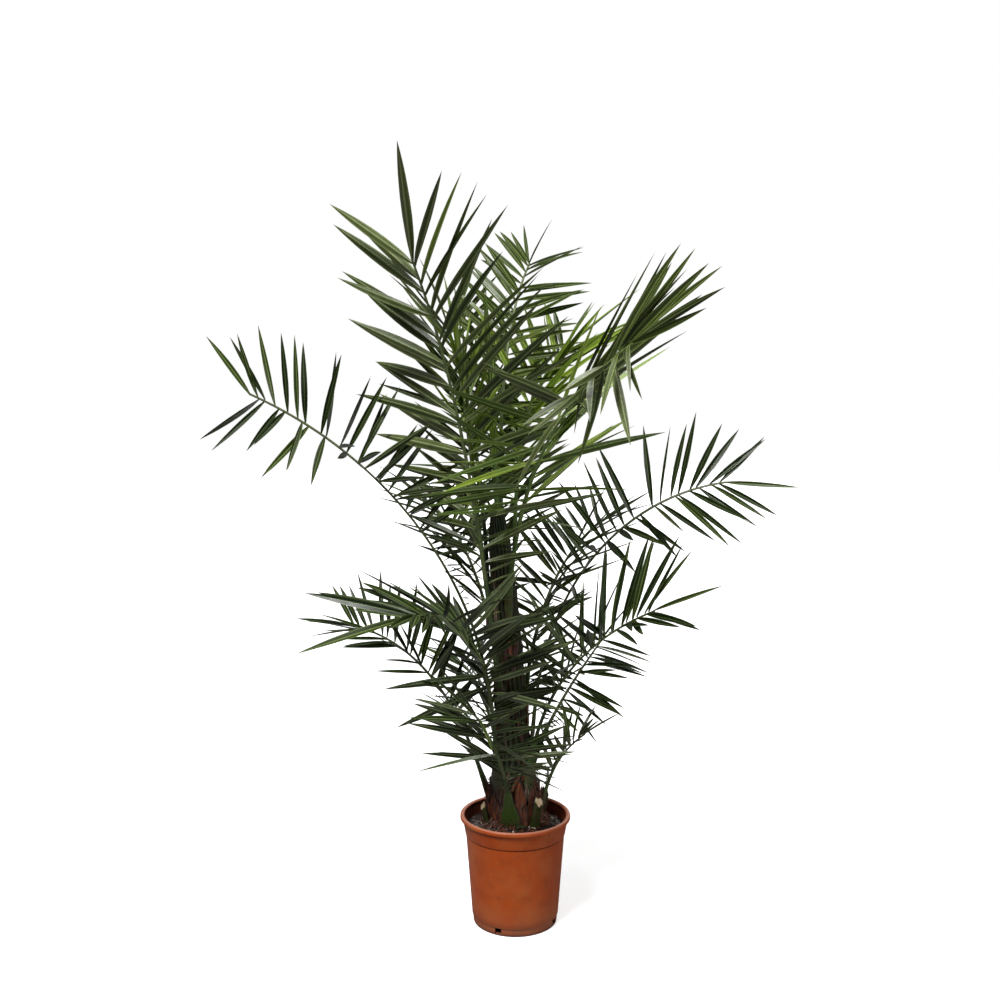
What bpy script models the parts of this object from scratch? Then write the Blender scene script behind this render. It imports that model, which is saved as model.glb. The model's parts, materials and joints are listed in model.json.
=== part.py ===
"""Potted Canary Island date palm, about 1.7 m tall, as separate closed solids.

Frame: metres, +Z up, origin at the centre of the pot's flat underside. -Y is the plant's front.
The trunk stands on the soil, each frond's foot stands 0.3 mm off the trunk, and every frond is
one thin blade: a four-sided rib with leaflets drawn out of its side faces.
"""

import math
from dataclasses import dataclass

import bmesh
import bpy
import numpy as np
from mathutils import Vector
from mathutils.bvhtree import BVHTree

# ---------------------------------------------------------------- driving dimensions (metres)
SEAT = 0.0003  # gap that touching solids keep
SEAT_SAMPLES = 9  # along each side of a face that is brought to its seat

POT_HEIGHT = 0.260
POT_RIM_RADIUS = 0.130
POT_LIP_HEIGHT = 0.010
POT_LIP_ROLL = ((0.0085, 0.0016), (0.0045, 0.0), (0.0, 0.003))  # in from the rim and down
POT_LIP_INSIDE = 0.0033  # how far under the top the inner wall meets the lip
POT_COLLAR_RADIUS = 0.1240
POT_COLLAR_FOOT_RADIUS = 0.1180
POT_COLLAR_HEIGHT = 0.036
POT_STEP = 0.0018  # how far the body and the foot band lie inside what is above them
POT_FOOT_RADIUS = 0.1003
POT_FOOT_BAND = 0.019
POT_BASE_RADIUS = 0.0988
POT_WALL = 0.0028
POT_FLOOR = 0.004
POT_SIDES = 48
DRAIN_CUT = (0.012, 0.016, 0.014)  # depth, width and height of a drain hole in the foot band
DRAIN_HOLES = 4
DRAIN_FIRST = -114.0  # heading of the first drain hole, degrees

SOIL_TOP = 0.232
TRUNK_FOOT = SOIL_TOP + SEAT
TRUNK_TOP = 0.98
TRUNK_SIDES = 24
# (share of the trunk's height, radius): root flare, bulb, then a taper to the crown's bud
TRUNK_PROFILE = (
    (0.00, 0.066), (0.02, 0.061), (0.06, 0.062), (0.13, 0.055), (0.20, 0.047),
    (0.30, 0.041), (0.50, 0.037), (0.70, 0.032), (0.90, 0.026), (1.00, 0.016),
)
TRUNK_LEAN = 0.043  # how far the trunk's tip leans towards -X
TRUNK_LEAN_BEND = 1.5  # above 1 the lean grows towards the tip

RIB_WIDTH = (0.0120, 0.0050)  # at the petiole's end and at the tip
RIB_DEPTH = (0.0095, 0.0040)
FOOT_DEPTH = 0.0120
FOOT_RUN = 0.11  # length over which the broad foot narrows to the petiole
FOOT_BEND = 1.5  # above 1 the foot narrows mostly at its start
PETIOLE_STATIONS = 4
PETIOLE_CROWDING = 1.4  # above 1 the stations crowd towards the foot
SWING_BEND = 1.5
ROLL_END = 0.97  # share of the rib where the roll is complete
SKEW_SHARES = (0.4, 1.0)  # share of the skew at the blade's foot and at its tip
LEAFLET_WIDTH = 0.027  # larger than life, as the leaflets are fewer
LEAFLET_WIDEST = 0.40  # share of a leaflet's length where it is widest
LEAFLET_THICKNESS = 0.011  # share of a leaflet's length
LEAFLET_THINNEST = 0.0022
LEAFLET_ROOT = 0.009  # length of rib that a leaflet's root takes
LEAFLET_SHARE = 0.70  # solid pairs for each real pair
END_LEAFLET = 0.9  # length of the leaflet at the tip against the longest
LENGTH_SPREAD, SWEEP_SPREAD, LIFT_SPREAD = 0.03, 2.5, 5.0  # natural variation, degrees for two
LEAFLET_PROFILE = ((0.0, 0.12, 0.40, 0.75, 1.0), (0.45, 0.80, 1.0, 0.95, 0.80))
CLEARANCE = 0.0008  # least space kept round a leaflet
PAST_ROOT = 0.03  # share of a leaflet's length from which it keeps clear of other fronds
PAST_RIB = 0.16  # and from which it keeps clear of its own rib and leaflets
MISSES = (  # ways a leaflet dodges another: degrees of sweep, degrees of lift, share of length
    (0, 0, 1.0), (0, 9, 1.0), (0, -9, 1.0), (7, 0, 1.0), (-7, 0, 1.0), (5, 17, 1.0),
    (-5, -17, 1.0), (10, 9, 0.9), (-10, -9, 0.9), (0, 26, 0.9), (0, -26, 0.9),
    (0, 0, 0.7), (0, 12, 0.7), (0, -12, 0.7), (12, 20, 0.7), (-12, -20, 0.7), (0, 0, 0.5),
)


@dataclass(frozen=True)
class Frond:
    """One frond: angles in degrees, lengths in metres, paired values from the blade's foot to its tip."""

    name: str
    height: float  # of the foot above the pot's underside
    heading: float  # seen from above, 0 along +X and 90 along +Y
    rise: float  # the rib's slope at its foot
    arch: float  # the rib's slope at its tip
    bend: float  # above 1 the slope changes mostly towards the tip
    length: float  # of the rib
    leaflet: float  # the longest leaflet
    pairs: int  # leaflet pairs on the real frond
    petiole: float = 0.35  # share of the rib that has no leaflets
    swing: float = 0.0  # how far the heading turns along the rib
    foot: float | None = None  # the foot's own heading, where it isn't the frond's
    foot_width: float = 0.030
    spread: tuple = (70.0, 45.0)  # between leaflet and rib
    spread_bend: float = 1.2  # above 1 the spread changes mostly towards the tip
    lift: tuple = (30.0, 20.0)  # of the leaflets above the blade's plane
    lift_bend: float = 1.0  # above 1 the lift changes mostly towards the tip
    roll: float = 0.0  # how far the blade is turned about its rib at the tip
    roll_from: float = 0.35  # share of the rib where the roll begins
    skew: float = 0.0  # how much further the right row spreads than the left
    tip_turn: float = 0.0  # of the end leaflet, towards the right row
    sag: float = 0.0  # how much a level leaflet droops
    twist: float = 0.0  # of the leaflets about their own lines, at the blade's tip
    colour: tuple = (0.045, 0.085, 0.025)


DEEP = (0.028, 0.060, 0.022)
OLIVE = (0.075, 0.110, 0.040)
FRESH = (0.130, 0.220, 0.045)

FRONDS = (
    Frond("frond_front_low", 0.262, -100, 80, 51, 0.4, 0.35, 0.20, 15, petiole=0.42, swing=-36,
          foot_width=0.050, spread=(85, 64), lift=(20, 5), skew=4, sag=0.08, colour=DEEP),
    Frond("frond_right_short", 0.290, -8, 80, 35, 1.2, 0.20, 0.12, 10, foot_width=0.034,
          colour=DEEP),
    Frond("frond_back_low_left", 0.300, 112, 68, 0, 1.2, 0.42, 0.16, 14, foot_width=0.038,
          sag=0.05, colour=DEEP),
    Frond("frond_left_low", 0.300, 163, 70, 5, 1.86, 0.55, 0.17, 16, foot_width=0.040,
          spread=(70, 50), lift=(55, 25), roll=-30, sag=0.10, colour=DEEP),
    Frond("frond_left_forward", 0.350, -135, 87, -9, 2.5, 0.54, 0.30, 18, petiole=0.30,
          swing=-13, foot_width=0.036, spread=(75, 66), lift=(20, 5), skew=6, sag=0.05,
          colour=DEEP),
    Frond("frond_back_low", 0.360, 78, 70, 0, 1.2, 0.52, 0.18, 16, foot_width=0.036, sag=0.05,
          colour=DEEP),
    Frond("frond_right_middle", 0.365, -48, 89, 25, 0.72, 0.58, 0.20, 16, petiole=0.42,
          swing=10, foot_width=0.034, spread=(75, 36), lift=(50, 20), roll=50, skew=-4,
          sag=0.10, colour=DEEP),
    Frond("frond_right_low", 0.375, 36, 61, 38, 0.9, 0.35, 0.16, 13, swing=6, foot_width=0.034,
          spread=(80, 50), lift=(10, 0), skew=8, sag=0.45, colour=DEEP),
    Frond("frond_right_arching", 0.455, -9, 86, 9, 1.4, 0.80, 0.185, 20, petiole=0.42,
          swing=-2, foot_width=0.032, spread=(82, 34), spread_bend=2.0, lift=(50, 15),
          roll=65, skew=-2, tip_turn=-12, sag=0.25, colour=DEEP),
    Frond("frond_back_right", 0.500, 50, 82, 15, 1.3, 0.56, 0.20, 17, foot_width=0.030,
          sag=0.05, colour=DEEP),
    Frond("frond_left_arching", 0.510, -170, 85, 25, 0.93, 0.955, 0.195, 22, petiole=0.40,
          foot_width=0.032, spread=(88, 50), spread_bend=2.5, lift=(60, 10), lift_bend=2.5,
          roll=-65, roll_from=0.50, skew=-10, tip_turn=-34, sag=0.25, colour=DEEP),
    Frond("frond_back_left", 0.520, 124, 82, 15, 1.3, 0.60, 0.20, 17, foot_width=0.030,
          sag=0.05, colour=DEEP),
    Frond("frond_front_tall", 0.540, -120, 77, 54, 2.4, 1.04, 0.295, 25, petiole=0.32,
          foot_width=0.030, spread=(75, 50), lift=(25, 20), skew=15, tip_turn=15, sag=0.02,
          colour=OLIVE),
    Frond("frond_back_arching", 0.600, 95, 82, 5, 1.3, 0.80, 0.22, 20, foot_width=0.026,
          sag=0.05, colour=DEEP),
    Frond("frond_back_left_tall", 0.700, 122, 86, 55, 1.6, 0.76, 0.24, 18, foot=150,
          foot_width=0.022, colour=OLIVE),
    Frond("frond_front_right", 0.775, -74, 80, 25, 0.70, 0.80, 0.28, 26, petiole=0.22,
          swing=20, foot_width=0.020, spread=(88, 44), lift=(5, 10), roll=46, roll_from=0.25,
          skew=14, twist=55, tip_turn=-12, colour=FRESH),
    Frond("frond_young_left", 0.790, 175, 83, 82, 1.5, 0.56, 0.20, 16, petiole=0.40,
          foot_width=0.018, spread=(50, 30), lift=(20, 20), colour=FRESH),
    Frond("frond_back_tall", 0.875, 78, 90, 48, 1.8, 0.725, 0.19, 20, swing=-18, foot=95,
          foot_width=0.014, spread=(72, 62), lift=(20, 5), skew=22, tip_turn=20, colour=OLIVE),
    Frond("frond_young_right", 0.890, 49, 90, 36, 1.8, 0.51, 0.27, 18, swing=-13, foot=15,
          foot_width=0.014, spread=(60, 42), lift=(20, 10), tip_turn=25, colour=FRESH),
)


@dataclass(frozen=True)
class CutBase:
    """The stub of a frond that was cut off low on the trunk."""

    name: str
    heading: float
    foot: float
    top: float
    width: float


CUT_BASES = (
    CutBase("cut_base_right", -52, 0.240, 0.312, 0.030),
    CutBase("cut_base_left", -163, 0.240, 0.290, 0.026),
    CutBase("cut_base_back_right", 28, 0.240, 0.300, 0.030),
    CutBase("cut_base_back", 72, 0.240, 0.318, 0.032),
    CutBase("cut_base_back_left", 138, 0.240, 0.288, 0.028),
)
CUT_BASE_DEPTH = 0.011
CUT_BASE_SLOPE = 76.0
# (share of the height, share of the width, share of the depth)
CUT_BASE_SHAPE = ((0.0, 0.85, 1.0), (0.35, 1.0, 1.0), (1.0, 0.62, 0.75))
CUT_BASE_BACK = 0.7  # width of the outer face against the inner

SPEAR_LENGTH = 0.44  # the folded youngest leaf at the trunk's tip
SPEAR_RADIUS = 0.0085
SPEAR_SIDES = 8
SPEAR_LEAN = 0.02  # towards -X at its tip
SPEAR_SHAPE = ((0.0, 0.75), (0.25, 1.0), (0.6, 0.7), (0.98, 0.10))  # share of length, of radius


# ---------------------------------------------------------------- helpers
def clear_scene():
    for item in list(bpy.data.objects):
        bpy.data.objects.remove(item, do_unlink=True)


def material(name, colour, roughness, metallic=0.0):
    made = bpy.data.materials.new(name)
    made.use_nodes = True
    shader = made.node_tree.nodes["Principled BSDF"]
    shader.inputs["Base Color"].default_value = (*colour, 1.0)
    shader.inputs["Roughness"].default_value = roughness
    shader.inputs["Metallic"].default_value = metallic
    return made


def add_object(name, vertices, faces, finish, smooth=False):
    """Makes one named object from points and faces, facing outwards."""
    mesh = bpy.data.meshes.new(name)
    mesh.from_pydata([tuple(map(float, v)) for v in vertices], [], faces)
    shaped = bmesh.new()
    shaped.from_mesh(mesh)
    bmesh.ops.recalc_face_normals(shaped, faces=shaped.faces)
    shaped.to_mesh(mesh)
    shaped.free()
    if smooth:
        mesh.shade_smooth()
        mesh.set_sharp_from_angle(angle=math.radians(35))
    mesh.materials.append(finish)
    item = bpy.data.objects.new(name, mesh)
    bpy.context.scene.collection.objects.link(item)
    return item


def ring_shell(rings, closed=False):
    """Faces over rings of points: side quads, and the two end caps or a closed loop of rings."""
    count = len(rings[0])
    vertices = [point for ring in rings for point in ring]
    faces = []
    for i in range(len(rings) if closed else len(rings) - 1):
        low, high = i * count, (i + 1) % len(rings) * count
        for k in range(count):
            n = (k + 1) % count
            faces.append((low + k, low + n, high + n, high + k))
    if not closed:
        faces.append(tuple(range(count)))
        faces.append(tuple(range(len(vertices) - count, len(vertices))))
    return vertices, faces


def circle(centre, radius, sides, turn=0.0):
    angles = turn + np.arange(sides) * 2 * math.pi / sides
    return [centre + radius * np.array((math.cos(a), math.sin(a), 0.0)) for a in angles]


def unit(vector):
    return vector / np.linalg.norm(vector)


def along(pair, share):
    """The value at a share of the way from the first of a pair to the second."""
    return pair[0] + (pair[1] - pair[0]) * share


# ---------------------------------------------------------------- pot and soil
def pot_outline():
    """(radius, height) down the pot's outside, from the rim's inner edge to the base."""
    collar_top = POT_HEIGHT - POT_LIP_HEIGHT
    collar_foot = collar_top - POT_COLLAR_HEIGHT
    lip = [(POT_RIM_RADIUS - inward, POT_HEIGHT - down) for inward, down in POT_LIP_ROLL]
    return lip + [
        (POT_RIM_RADIUS, collar_top),
        (POT_COLLAR_RADIUS, collar_top),
        (POT_COLLAR_FOOT_RADIUS, collar_foot),
        (POT_COLLAR_FOOT_RADIUS - POT_STEP, collar_foot),
        (POT_FOOT_RADIUS + POT_STEP, POT_FOOT_BAND),
        (POT_FOOT_RADIUS, POT_FOOT_BAND),
        (POT_BASE_RADIUS, 0.0),
    ]


def pot_inside():
    """(radius, height) up the pot's inner wall, which follows the body and then the collar."""
    collar_top = POT_HEIGHT - POT_LIP_HEIGHT
    return [
        (POT_BASE_RADIUS - POT_WALL, POT_FLOOR),
        (POT_COLLAR_FOOT_RADIUS - POT_STEP - POT_WALL, collar_top - POT_COLLAR_HEIGHT),
        (POT_COLLAR_RADIUS - POT_WALL, collar_top),
        (POT_COLLAR_RADIUS - POT_WALL, POT_HEIGHT - POT_LIP_INSIDE),
    ]


def build_pot():
    """A turned shell with a rolled lip, a stepped collar and a foot band with drain holes."""
    profile = pot_inside() + pot_outline()
    rings = [circle(np.array((0, 0, z)), r, POT_SIDES) for r, z in profile]
    vertices, faces = ring_shell(rings)
    finish = material("pot_plastic", (0.27, 0.055, 0.018), 0.45)
    pot = add_object("pot", vertices, faces, finish, smooth=True)
    for k in range(DRAIN_HOLES):
        heading = math.radians(DRAIN_FIRST + k * 360 / DRAIN_HOLES)
        cut_drain(pot, k, heading)


def cut_drain(pot, index, heading):
    """Cuts a square notch through the wall of the foot band."""
    cutter = bpy.data.objects.new(f"drain_cutter_{index}", bpy.data.meshes.new("drain_cutter"))
    shaped = bmesh.new()
    bmesh.ops.create_cube(shaped, size=1.0)
    bmesh.ops.scale(shaped, vec=DRAIN_CUT, verts=shaped.verts)
    shaped.to_mesh(cutter.data)
    shaped.free()
    middle = POT_FLOOR + DRAIN_CUT[2] / 2
    cutter.location = (
        POT_BASE_RADIUS * math.cos(heading), POT_BASE_RADIUS * math.sin(heading), middle
    )
    cutter.rotation_euler.z = heading
    cutter.hide_render = True
    cutter.display_type = "WIRE"
    bpy.context.scene.collection.objects.link(cutter)
    cut = pot.modifiers.new(cutter.name, "BOOLEAN")
    cut.operation = "DIFFERENCE"
    cut.solver = "EXACT"
    cut.object = cutter


def build_soil():
    """The soil fills the pot from its floor to just under the collar's top."""
    radii, heights = zip(*pot_inside())
    steps = (POT_FLOOR + SEAT, heights[1], SOIL_TOP)
    sizes = [float(np.interp(z, heights, radii)) - 2 * SEAT for z in steps]
    rings = [circle(np.array((0, 0, z)), r, POT_SIDES) for z, r in zip(steps, sizes)]
    vertices, faces = ring_shell(rings)
    add_object("soil", vertices, faces, material("soil", (0.020, 0.014, 0.010), 0.95))


# ---------------------------------------------------------------- trunk
def trunk_centre(height):
    share = max(0.0, (height - TRUNK_FOOT) / (TRUNK_TOP - TRUNK_FOOT))
    return np.array((-TRUNK_LEAN * share**TRUNK_LEAN_BEND, 0.0, height))


def trunk_radius(height):
    share = (height - TRUNK_FOOT) / (TRUNK_TOP - TRUNK_FOOT)
    return float(np.interp(share, *zip(*TRUNK_PROFILE)))


def build_trunk():
    rings = []
    for share, radius in TRUNK_PROFILE:
        height = TRUNK_FOOT + share * (TRUNK_TOP - TRUNK_FOOT)
        rings.append(circle(trunk_centre(height), radius, TRUNK_SIDES))
    vertices, faces = ring_shell(rings)
    finish = material("trunk_fibre", (0.11, 0.045, 0.020), 0.9)
    add_object("trunk", vertices, faces, finish, smooth=True)
    return vertices, faces


def seat_shift(rings, outward, trunk_tree):
    """The way that brings a piece inwards until it lies its seat's gap off the trunk."""
    samples = []
    shares = np.linspace(0, 1, SEAT_SAMPLES)
    for low, high in zip(rings, rings[1:]):
        for k in range(len(low)):
            n = (k + 1) % len(low)
            for share in shares:
                first, second = along((low[k], high[k]), share), along((low[n], high[n]), share)
                samples += [along((first, second), across) for across in shares]
    gap = min(trunk_tree.find_nearest(Vector(sample))[3] for sample in samples)
    return -outward * (gap - SEAT)


def build_cut_base(base, finish, trunk_tree):
    """A short tapering slab that leans on the bulb and ends in a slanting cut."""
    heading, slope = math.radians(base.heading), math.radians(CUT_BASE_SLOPE)
    outward = np.array((math.cos(heading), math.sin(heading), 0.0))
    across = np.array((-math.sin(heading), math.cos(heading), 0.0))
    along = outward * math.cos(slope) + np.array((0, 0, math.sin(slope)))
    inward = -outward * math.sin(slope) + np.array((0, 0, math.cos(slope)))
    reach = max(trunk_radius(z) for z in np.linspace(base.foot, base.top, 5))
    half_deep = CUT_BASE_DEPTH / 2 * math.sin(slope)
    start = trunk_centre(base.foot) + outward * (reach + SEAT + half_deep)
    rings = []
    for share, wide, deep in CUT_BASE_SHAPE:
        centre = start + along * share * (base.top - base.foot)
        # The slab keeps its inner face straight, so it thins from the outside.
        centre = centre + inward * CUT_BASE_DEPTH / 2 * (1 - deep)
        half, depth = base.width / 2 * wide, CUT_BASE_DEPTH / 2 * deep
        rings.append([
            centre + across * half + inward * depth,
            centre - across * half + inward * depth,
            centre - across * half * CUT_BASE_BACK - inward * depth,
            centre + across * half * CUT_BASE_BACK - inward * depth,
        ])
    shift = seat_shift(rings, outward, trunk_tree)
    vertices, faces = ring_shell([[point + shift for point in ring] for ring in rings])
    add_object(base.name, vertices, faces, finish)
    return vertices, faces


# ---------------------------------------------------------------- fronds
def smooth_step(value, low, high):
    x = min(1.0, max(0.0, (value - low) / (high - low)))
    return x * x * (3 - 2 * x)


class Rib:
    """A frond's centre line, with the blade's axes and the rib's size at any share of its length."""

    STEPS = 80

    def __init__(self, frond, trunk_tree):
        self.frond = frond
        shares = np.linspace(0, 1, self.STEPS + 1)
        slopes = np.radians(frond.rise + (frond.arch - frond.rise) * shares**frond.bend)
        headings = np.radians(frond.heading + frond.swing * shares**SWING_BEND)
        self.shares = shares
        outwards = np.stack([np.cos(headings), np.sin(headings), np.zeros_like(headings)], 1)
        flat, steep = np.cos(slopes)[:, None], np.sin(slopes)[:, None]
        upright = np.array((0.0, 0.0, 1.0))
        self.tangents = outwards * flat + upright * steep
        self.ups = upright * flat - outwards * steep
        steps = (self.tangents[1:] + self.tangents[:-1]) / 2 * frond.length / self.STEPS
        foot = math.radians(frond.heading if frond.foot is None else frond.foot)
        outward = np.array((math.cos(foot), math.sin(foot), 0.0))
        start = self.foot_point(outward)
        self.points = np.vstack([start, start + np.cumsum(steps, 0)])
        near = [share for share in self.stations()[0] if share * frond.length < FOOT_RUN]
        self.points += seat_shift([self.corners(share) for share in near], outward, trunk_tree)

    def foot_point(self, outward):
        """The rib's first point, with the foot's section just clear of the trunk."""
        height = self.frond.height
        side = np.cross(self.tangents[0], self.ups[0])
        wide = abs(float(side @ outward)) * self.width(0.0) / 2
        deep = abs(float(self.ups[0] @ outward)) * self.depth(0.0) / 2
        return trunk_centre(height) + outward * (trunk_radius(height) + wide + deep + SEAT)

    def read(self, rows, share):
        return np.array([np.interp(share, self.shares, rows[:, k]) for k in range(3)])

    def frame(self, share):
        """Point, tangent, right-hand side and upper side of the blade."""
        frond = self.frond
        tangent = unit(self.read(self.tangents, share))
        up = unit(self.read(self.ups, share))
        side = np.cross(tangent, up)
        roll = math.radians(frond.roll) * smooth_step(share, frond.roll_from, ROLL_END)
        up = up * math.cos(roll) + side * math.sin(roll)
        return self.read(self.points, share), tangent, np.cross(tangent, up), up

    def width(self, share):
        run = share * self.frond.length
        slim = along(RIB_WIDTH, share)
        left = max(0.0, 1 - run / FOOT_RUN)
        return slim + max(0.0, self.frond.foot_width - slim) * left**FOOT_BEND

    def depth(self, share):
        run = share * self.frond.length
        slim = along(RIB_DEPTH, share)
        return slim + (FOOT_DEPTH - slim) * max(0.0, 1 - run / FOOT_RUN)

    def corners(self, share):
        """The rib's four corners: left top, right top, right bottom, left bottom."""
        point, _, side, up = self.frame(share)
        half, deep = self.width(share) / 2, self.depth(share) / 2
        return [
            point - side * half + up * deep, point + side * half + up * deep,
            point + side * half - up * deep, point - side * half - up * deep,
        ]

    def stations(self):
        """Shares of the rib's length where it has corners, and the index of each leaflet's first one."""
        frond = self.frond
        pairs = max(4, round(frond.pairs * LEAFLET_SHARE))
        root = LEAFLET_ROOT / frond.length / 2
        steps = [k / PETIOLE_STATIONS for k in range(PETIOLE_STATIONS)]
        shares = [frond.petiole * step**PETIOLE_CROWDING for step in steps]
        firsts = []
        for k in range(pairs):
            middle = frond.petiole + (1 - frond.petiole) * (k + 0.5) / pairs
            firsts.append(len(shares))
            shares += [middle - root, middle + root]
        return shares + [1.0], firsts


def leaflet_rays(rib, share, side_sign, sweep, lift_more):
    """Direction of a leaflet, the way its width runs and its upper side."""
    frond = rib.frond
    _, tangent, side, up = rib.frame(share)
    blade = (share - frond.petiole) / (1 - frond.petiole)
    skew = side_sign * frond.skew * along(SKEW_SHARES, blade)
    angle = math.radians(along(frond.spread, blade**frond.spread_bend) + skew + sweep)
    lift = math.radians(along(frond.lift, blade**frond.lift_bend) + lift_more)
    ray = math.cos(angle) * tangent
    ray = ray + math.sin(angle) * (side_sign * math.cos(lift) * side + math.sin(lift) * up)
    ray = ray - np.array((0, 0, frond.sag)) * math.hypot(ray[0], ray[1])
    ray = unit(ray)
    return ray, *leaf_axes(ray, tangent, up, math.radians(side_sign * frond.twist * blade))


def leaf_axes(ray, tangent, up, twist):
    """The way a leaflet's width runs and its upper side, turned about its own line."""
    across = unit(tangent - ray * float(tangent @ ray))
    upper = np.cross(ray, across)
    if upper @ up < 0:
        upper = -upper
    across, upper = (
        across * math.cos(twist) + upper * math.sin(twist),
        upper * math.cos(twist) - across * math.sin(twist),
    )
    return across, upper


def leaflet_thickness(length):
    return max(LEAFLET_THINNEST, LEAFLET_THICKNESS * length)


def flat_ring(centre, across, upper, half, deep):
    """Four points of a flat section, from its left top to its left bottom."""
    return [
        centre - across * half + upper * deep, centre + across * half + upper * deep,
        centre + across * half - upper * deep, centre - across * half - upper * deep,
    ]


def leaflet_points(root, ray, across, upper, length):
    """Four points round a leaflet's widest place, in the order of its root, and its tip."""
    middle = root + ray * length * LEAFLET_WIDEST
    half, deep = LEAFLET_WIDTH / 2, leaflet_thickness(length) / 2
    return flat_ring(middle, across, upper, half, deep), root + ray * length


def envelope(root, ray, across, upper, length, start, rib_depth):
    """Triangles round a leaflet with its clearance, from a share of its length to its tip."""
    grown = start / LEAFLET_WIDEST
    root_half, root_deep = LEAFLET_ROOT / 2, rib_depth / 2
    half, deep = LEAFLET_WIDTH / 2, leaflet_thickness(length) / 2
    rings = []
    for share, wide, thick in (
        (start, along((root_half, half), grown), along((root_deep, deep), grown)),
        (LEAFLET_WIDEST, half, deep),
        (1.0, 0.0, 0.0),
    ):
        beyond = CLEARANCE if share == 1.0 else 0.0
        centre = root + ray * (length * share + beyond)
        rings.append(flat_ring(centre, across, upper, wide + CLEARANCE, thick + CLEARANCE))
    return ring_shell(rings)


class Space:
    """What stands in the way of a leaflet: solids as triangles, searched by a tree."""

    def __init__(self):
        self.vertices, self.faces, self.tree = [], [], None

    def add(self, vertices, faces):
        start = len(self.vertices)
        self.vertices += [Vector(v) for v in vertices]
        self.faces += [tuple(start + i for i in face) for face in faces]
        self.tree = None

    def hits(self, vertices, faces):
        if not self.faces:
            return False
        if self.tree is None:
            self.tree = BVHTree.FromPolygons(self.vertices, self.faces)
        other = BVHTree.FromPolygons([Vector(v) for v in vertices], faces)
        return bool(self.tree.overlap(other))


class FrondSolid:
    """Builds one frond as a single closed mesh."""

    def __init__(self, frond, seed, trunk_tree):
        self.rib = Rib(frond, trunk_tree)
        self.frond = frond
        self.random = np.random.default_rng(seed)
        self.shares, self.firsts = self.rib.stations()
        self.corners = [self.rib.corners(share) for share in self.shares]
        self.placed = []

    def tube(self):
        """The bare rib as a closed tube, for the clearance of its neighbours."""
        return ring_shell(self.corners)

    def place_leaflet(self, share, side_sign, space):
        """The first way past its neighbours that a leaflet finds, or None."""
        blade = (share - self.frond.petiole) / (1 - self.frond.petiole)
        point, _, side, _ = self.rib.frame(share)
        root = point + side * side_sign * self.rib.width(share) / 2
        depth = self.rib.depth(share)
        length = self.frond.leaflet * float(np.interp(blade, *LEAFLET_PROFILE))
        length *= 1 + self.random.normal(0, LENGTH_SPREAD)
        sweep = self.random.normal(0, SWEEP_SPREAD)
        lift = self.random.normal(0, LIFT_SPREAD)
        own = Space()
        own.add(*self.tube())
        for envelope_made in self.placed:
            own.add(*envelope_made)
        for sweep_more, lift_more, size in MISSES:
            rays = leaflet_rays(self.rib, share, side_sign, sweep + sweep_more, lift + lift_more)
            around = envelope(root, *rays, length * size, PAST_ROOT, depth)
            beyond = envelope(root, *rays, length * size, PAST_RIB, depth)
            if not space.hits(*around) and not own.hits(*beyond):
                self.placed.append(beyond)
                return leaflet_points(root, *rays, length * size)
        return None

    def end_leaflet(self):
        """The leaflet that ends the blade, turned a little out of the rib's line."""
        _, tangent, side, up = self.rib.frame(1.0)
        turn = math.radians(self.frond.tip_turn)
        ray = math.cos(turn) * tangent - math.sin(turn) * side
        across = np.cross(up, ray)
        return self.rib.points[-1], ray, -across, up, self.frond.leaflet * END_LEAFLET

    def build(self, space, finish):
        vertices = [corner for ring in self.corners for corner in ring]
        faces = [(0, 1, 2, 3)]
        end = self.end_leaflet()
        self.placed.append(envelope(*end, PAST_ROOT, RIB_DEPTH[1]))
        for k in range(len(self.shares) - 1):
            low, high = 4 * k, 4 * k + 4
            faces += [(low, low + 1, high + 1, high), (low + 3, low + 2, high + 2, high + 3)]
            for side_sign, (top, bottom) in ((-1, (0, 3)), (1, (1, 2))):
                root = (low + top, high + top, high + bottom, low + bottom)
                found = None
                if k in self.firsts:
                    middle = (self.shares[k] + self.shares[k + 1]) / 2
                    found = self.place_leaflet(middle, side_sign, space)
                if found is None:
                    faces.append(root)
                else:
                    self.draw_out(vertices, faces, root, *found)
        last = len(self.corners) * 4 - 4
        ring, tip = leaflet_points(*end)
        order = (last, last + 1, last + 2, last + 3)
        self.draw_out(vertices, faces, order, ring, tip)
        add_object(self.frond.name, vertices, faces, finish)
        return vertices, faces

    @staticmethod
    def draw_out(vertices, faces, root, ring, tip):
        """Draws a leaflet out of the quad of its root, over its widest ring, to its tip."""
        first = len(vertices)
        vertices += [*ring, tip]
        for i in range(4):
            j = (i + 1) % 4
            faces.append((root[i], root[j], first + j, first + i))
            faces.append((first + i, first + j, first + 4))


def build_spear():
    """The youngest leaf, still folded, standing on the trunk's tip."""
    foot = trunk_centre(TRUNK_TOP) + np.array((0, 0, SEAT))
    rings = []
    for share, size in SPEAR_SHAPE:
        centre = foot + np.array((-SPEAR_LEAN * share, 0, SPEAR_LENGTH * share))
        rings.append(circle(centre, SPEAR_RADIUS * size, SPEAR_SIDES))
    vertices, faces = ring_shell(rings)
    add_object("spear_leaf", vertices, faces, material("spear_leaf", FRESH, 0.5), smooth=True)
    return vertices, faces


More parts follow.
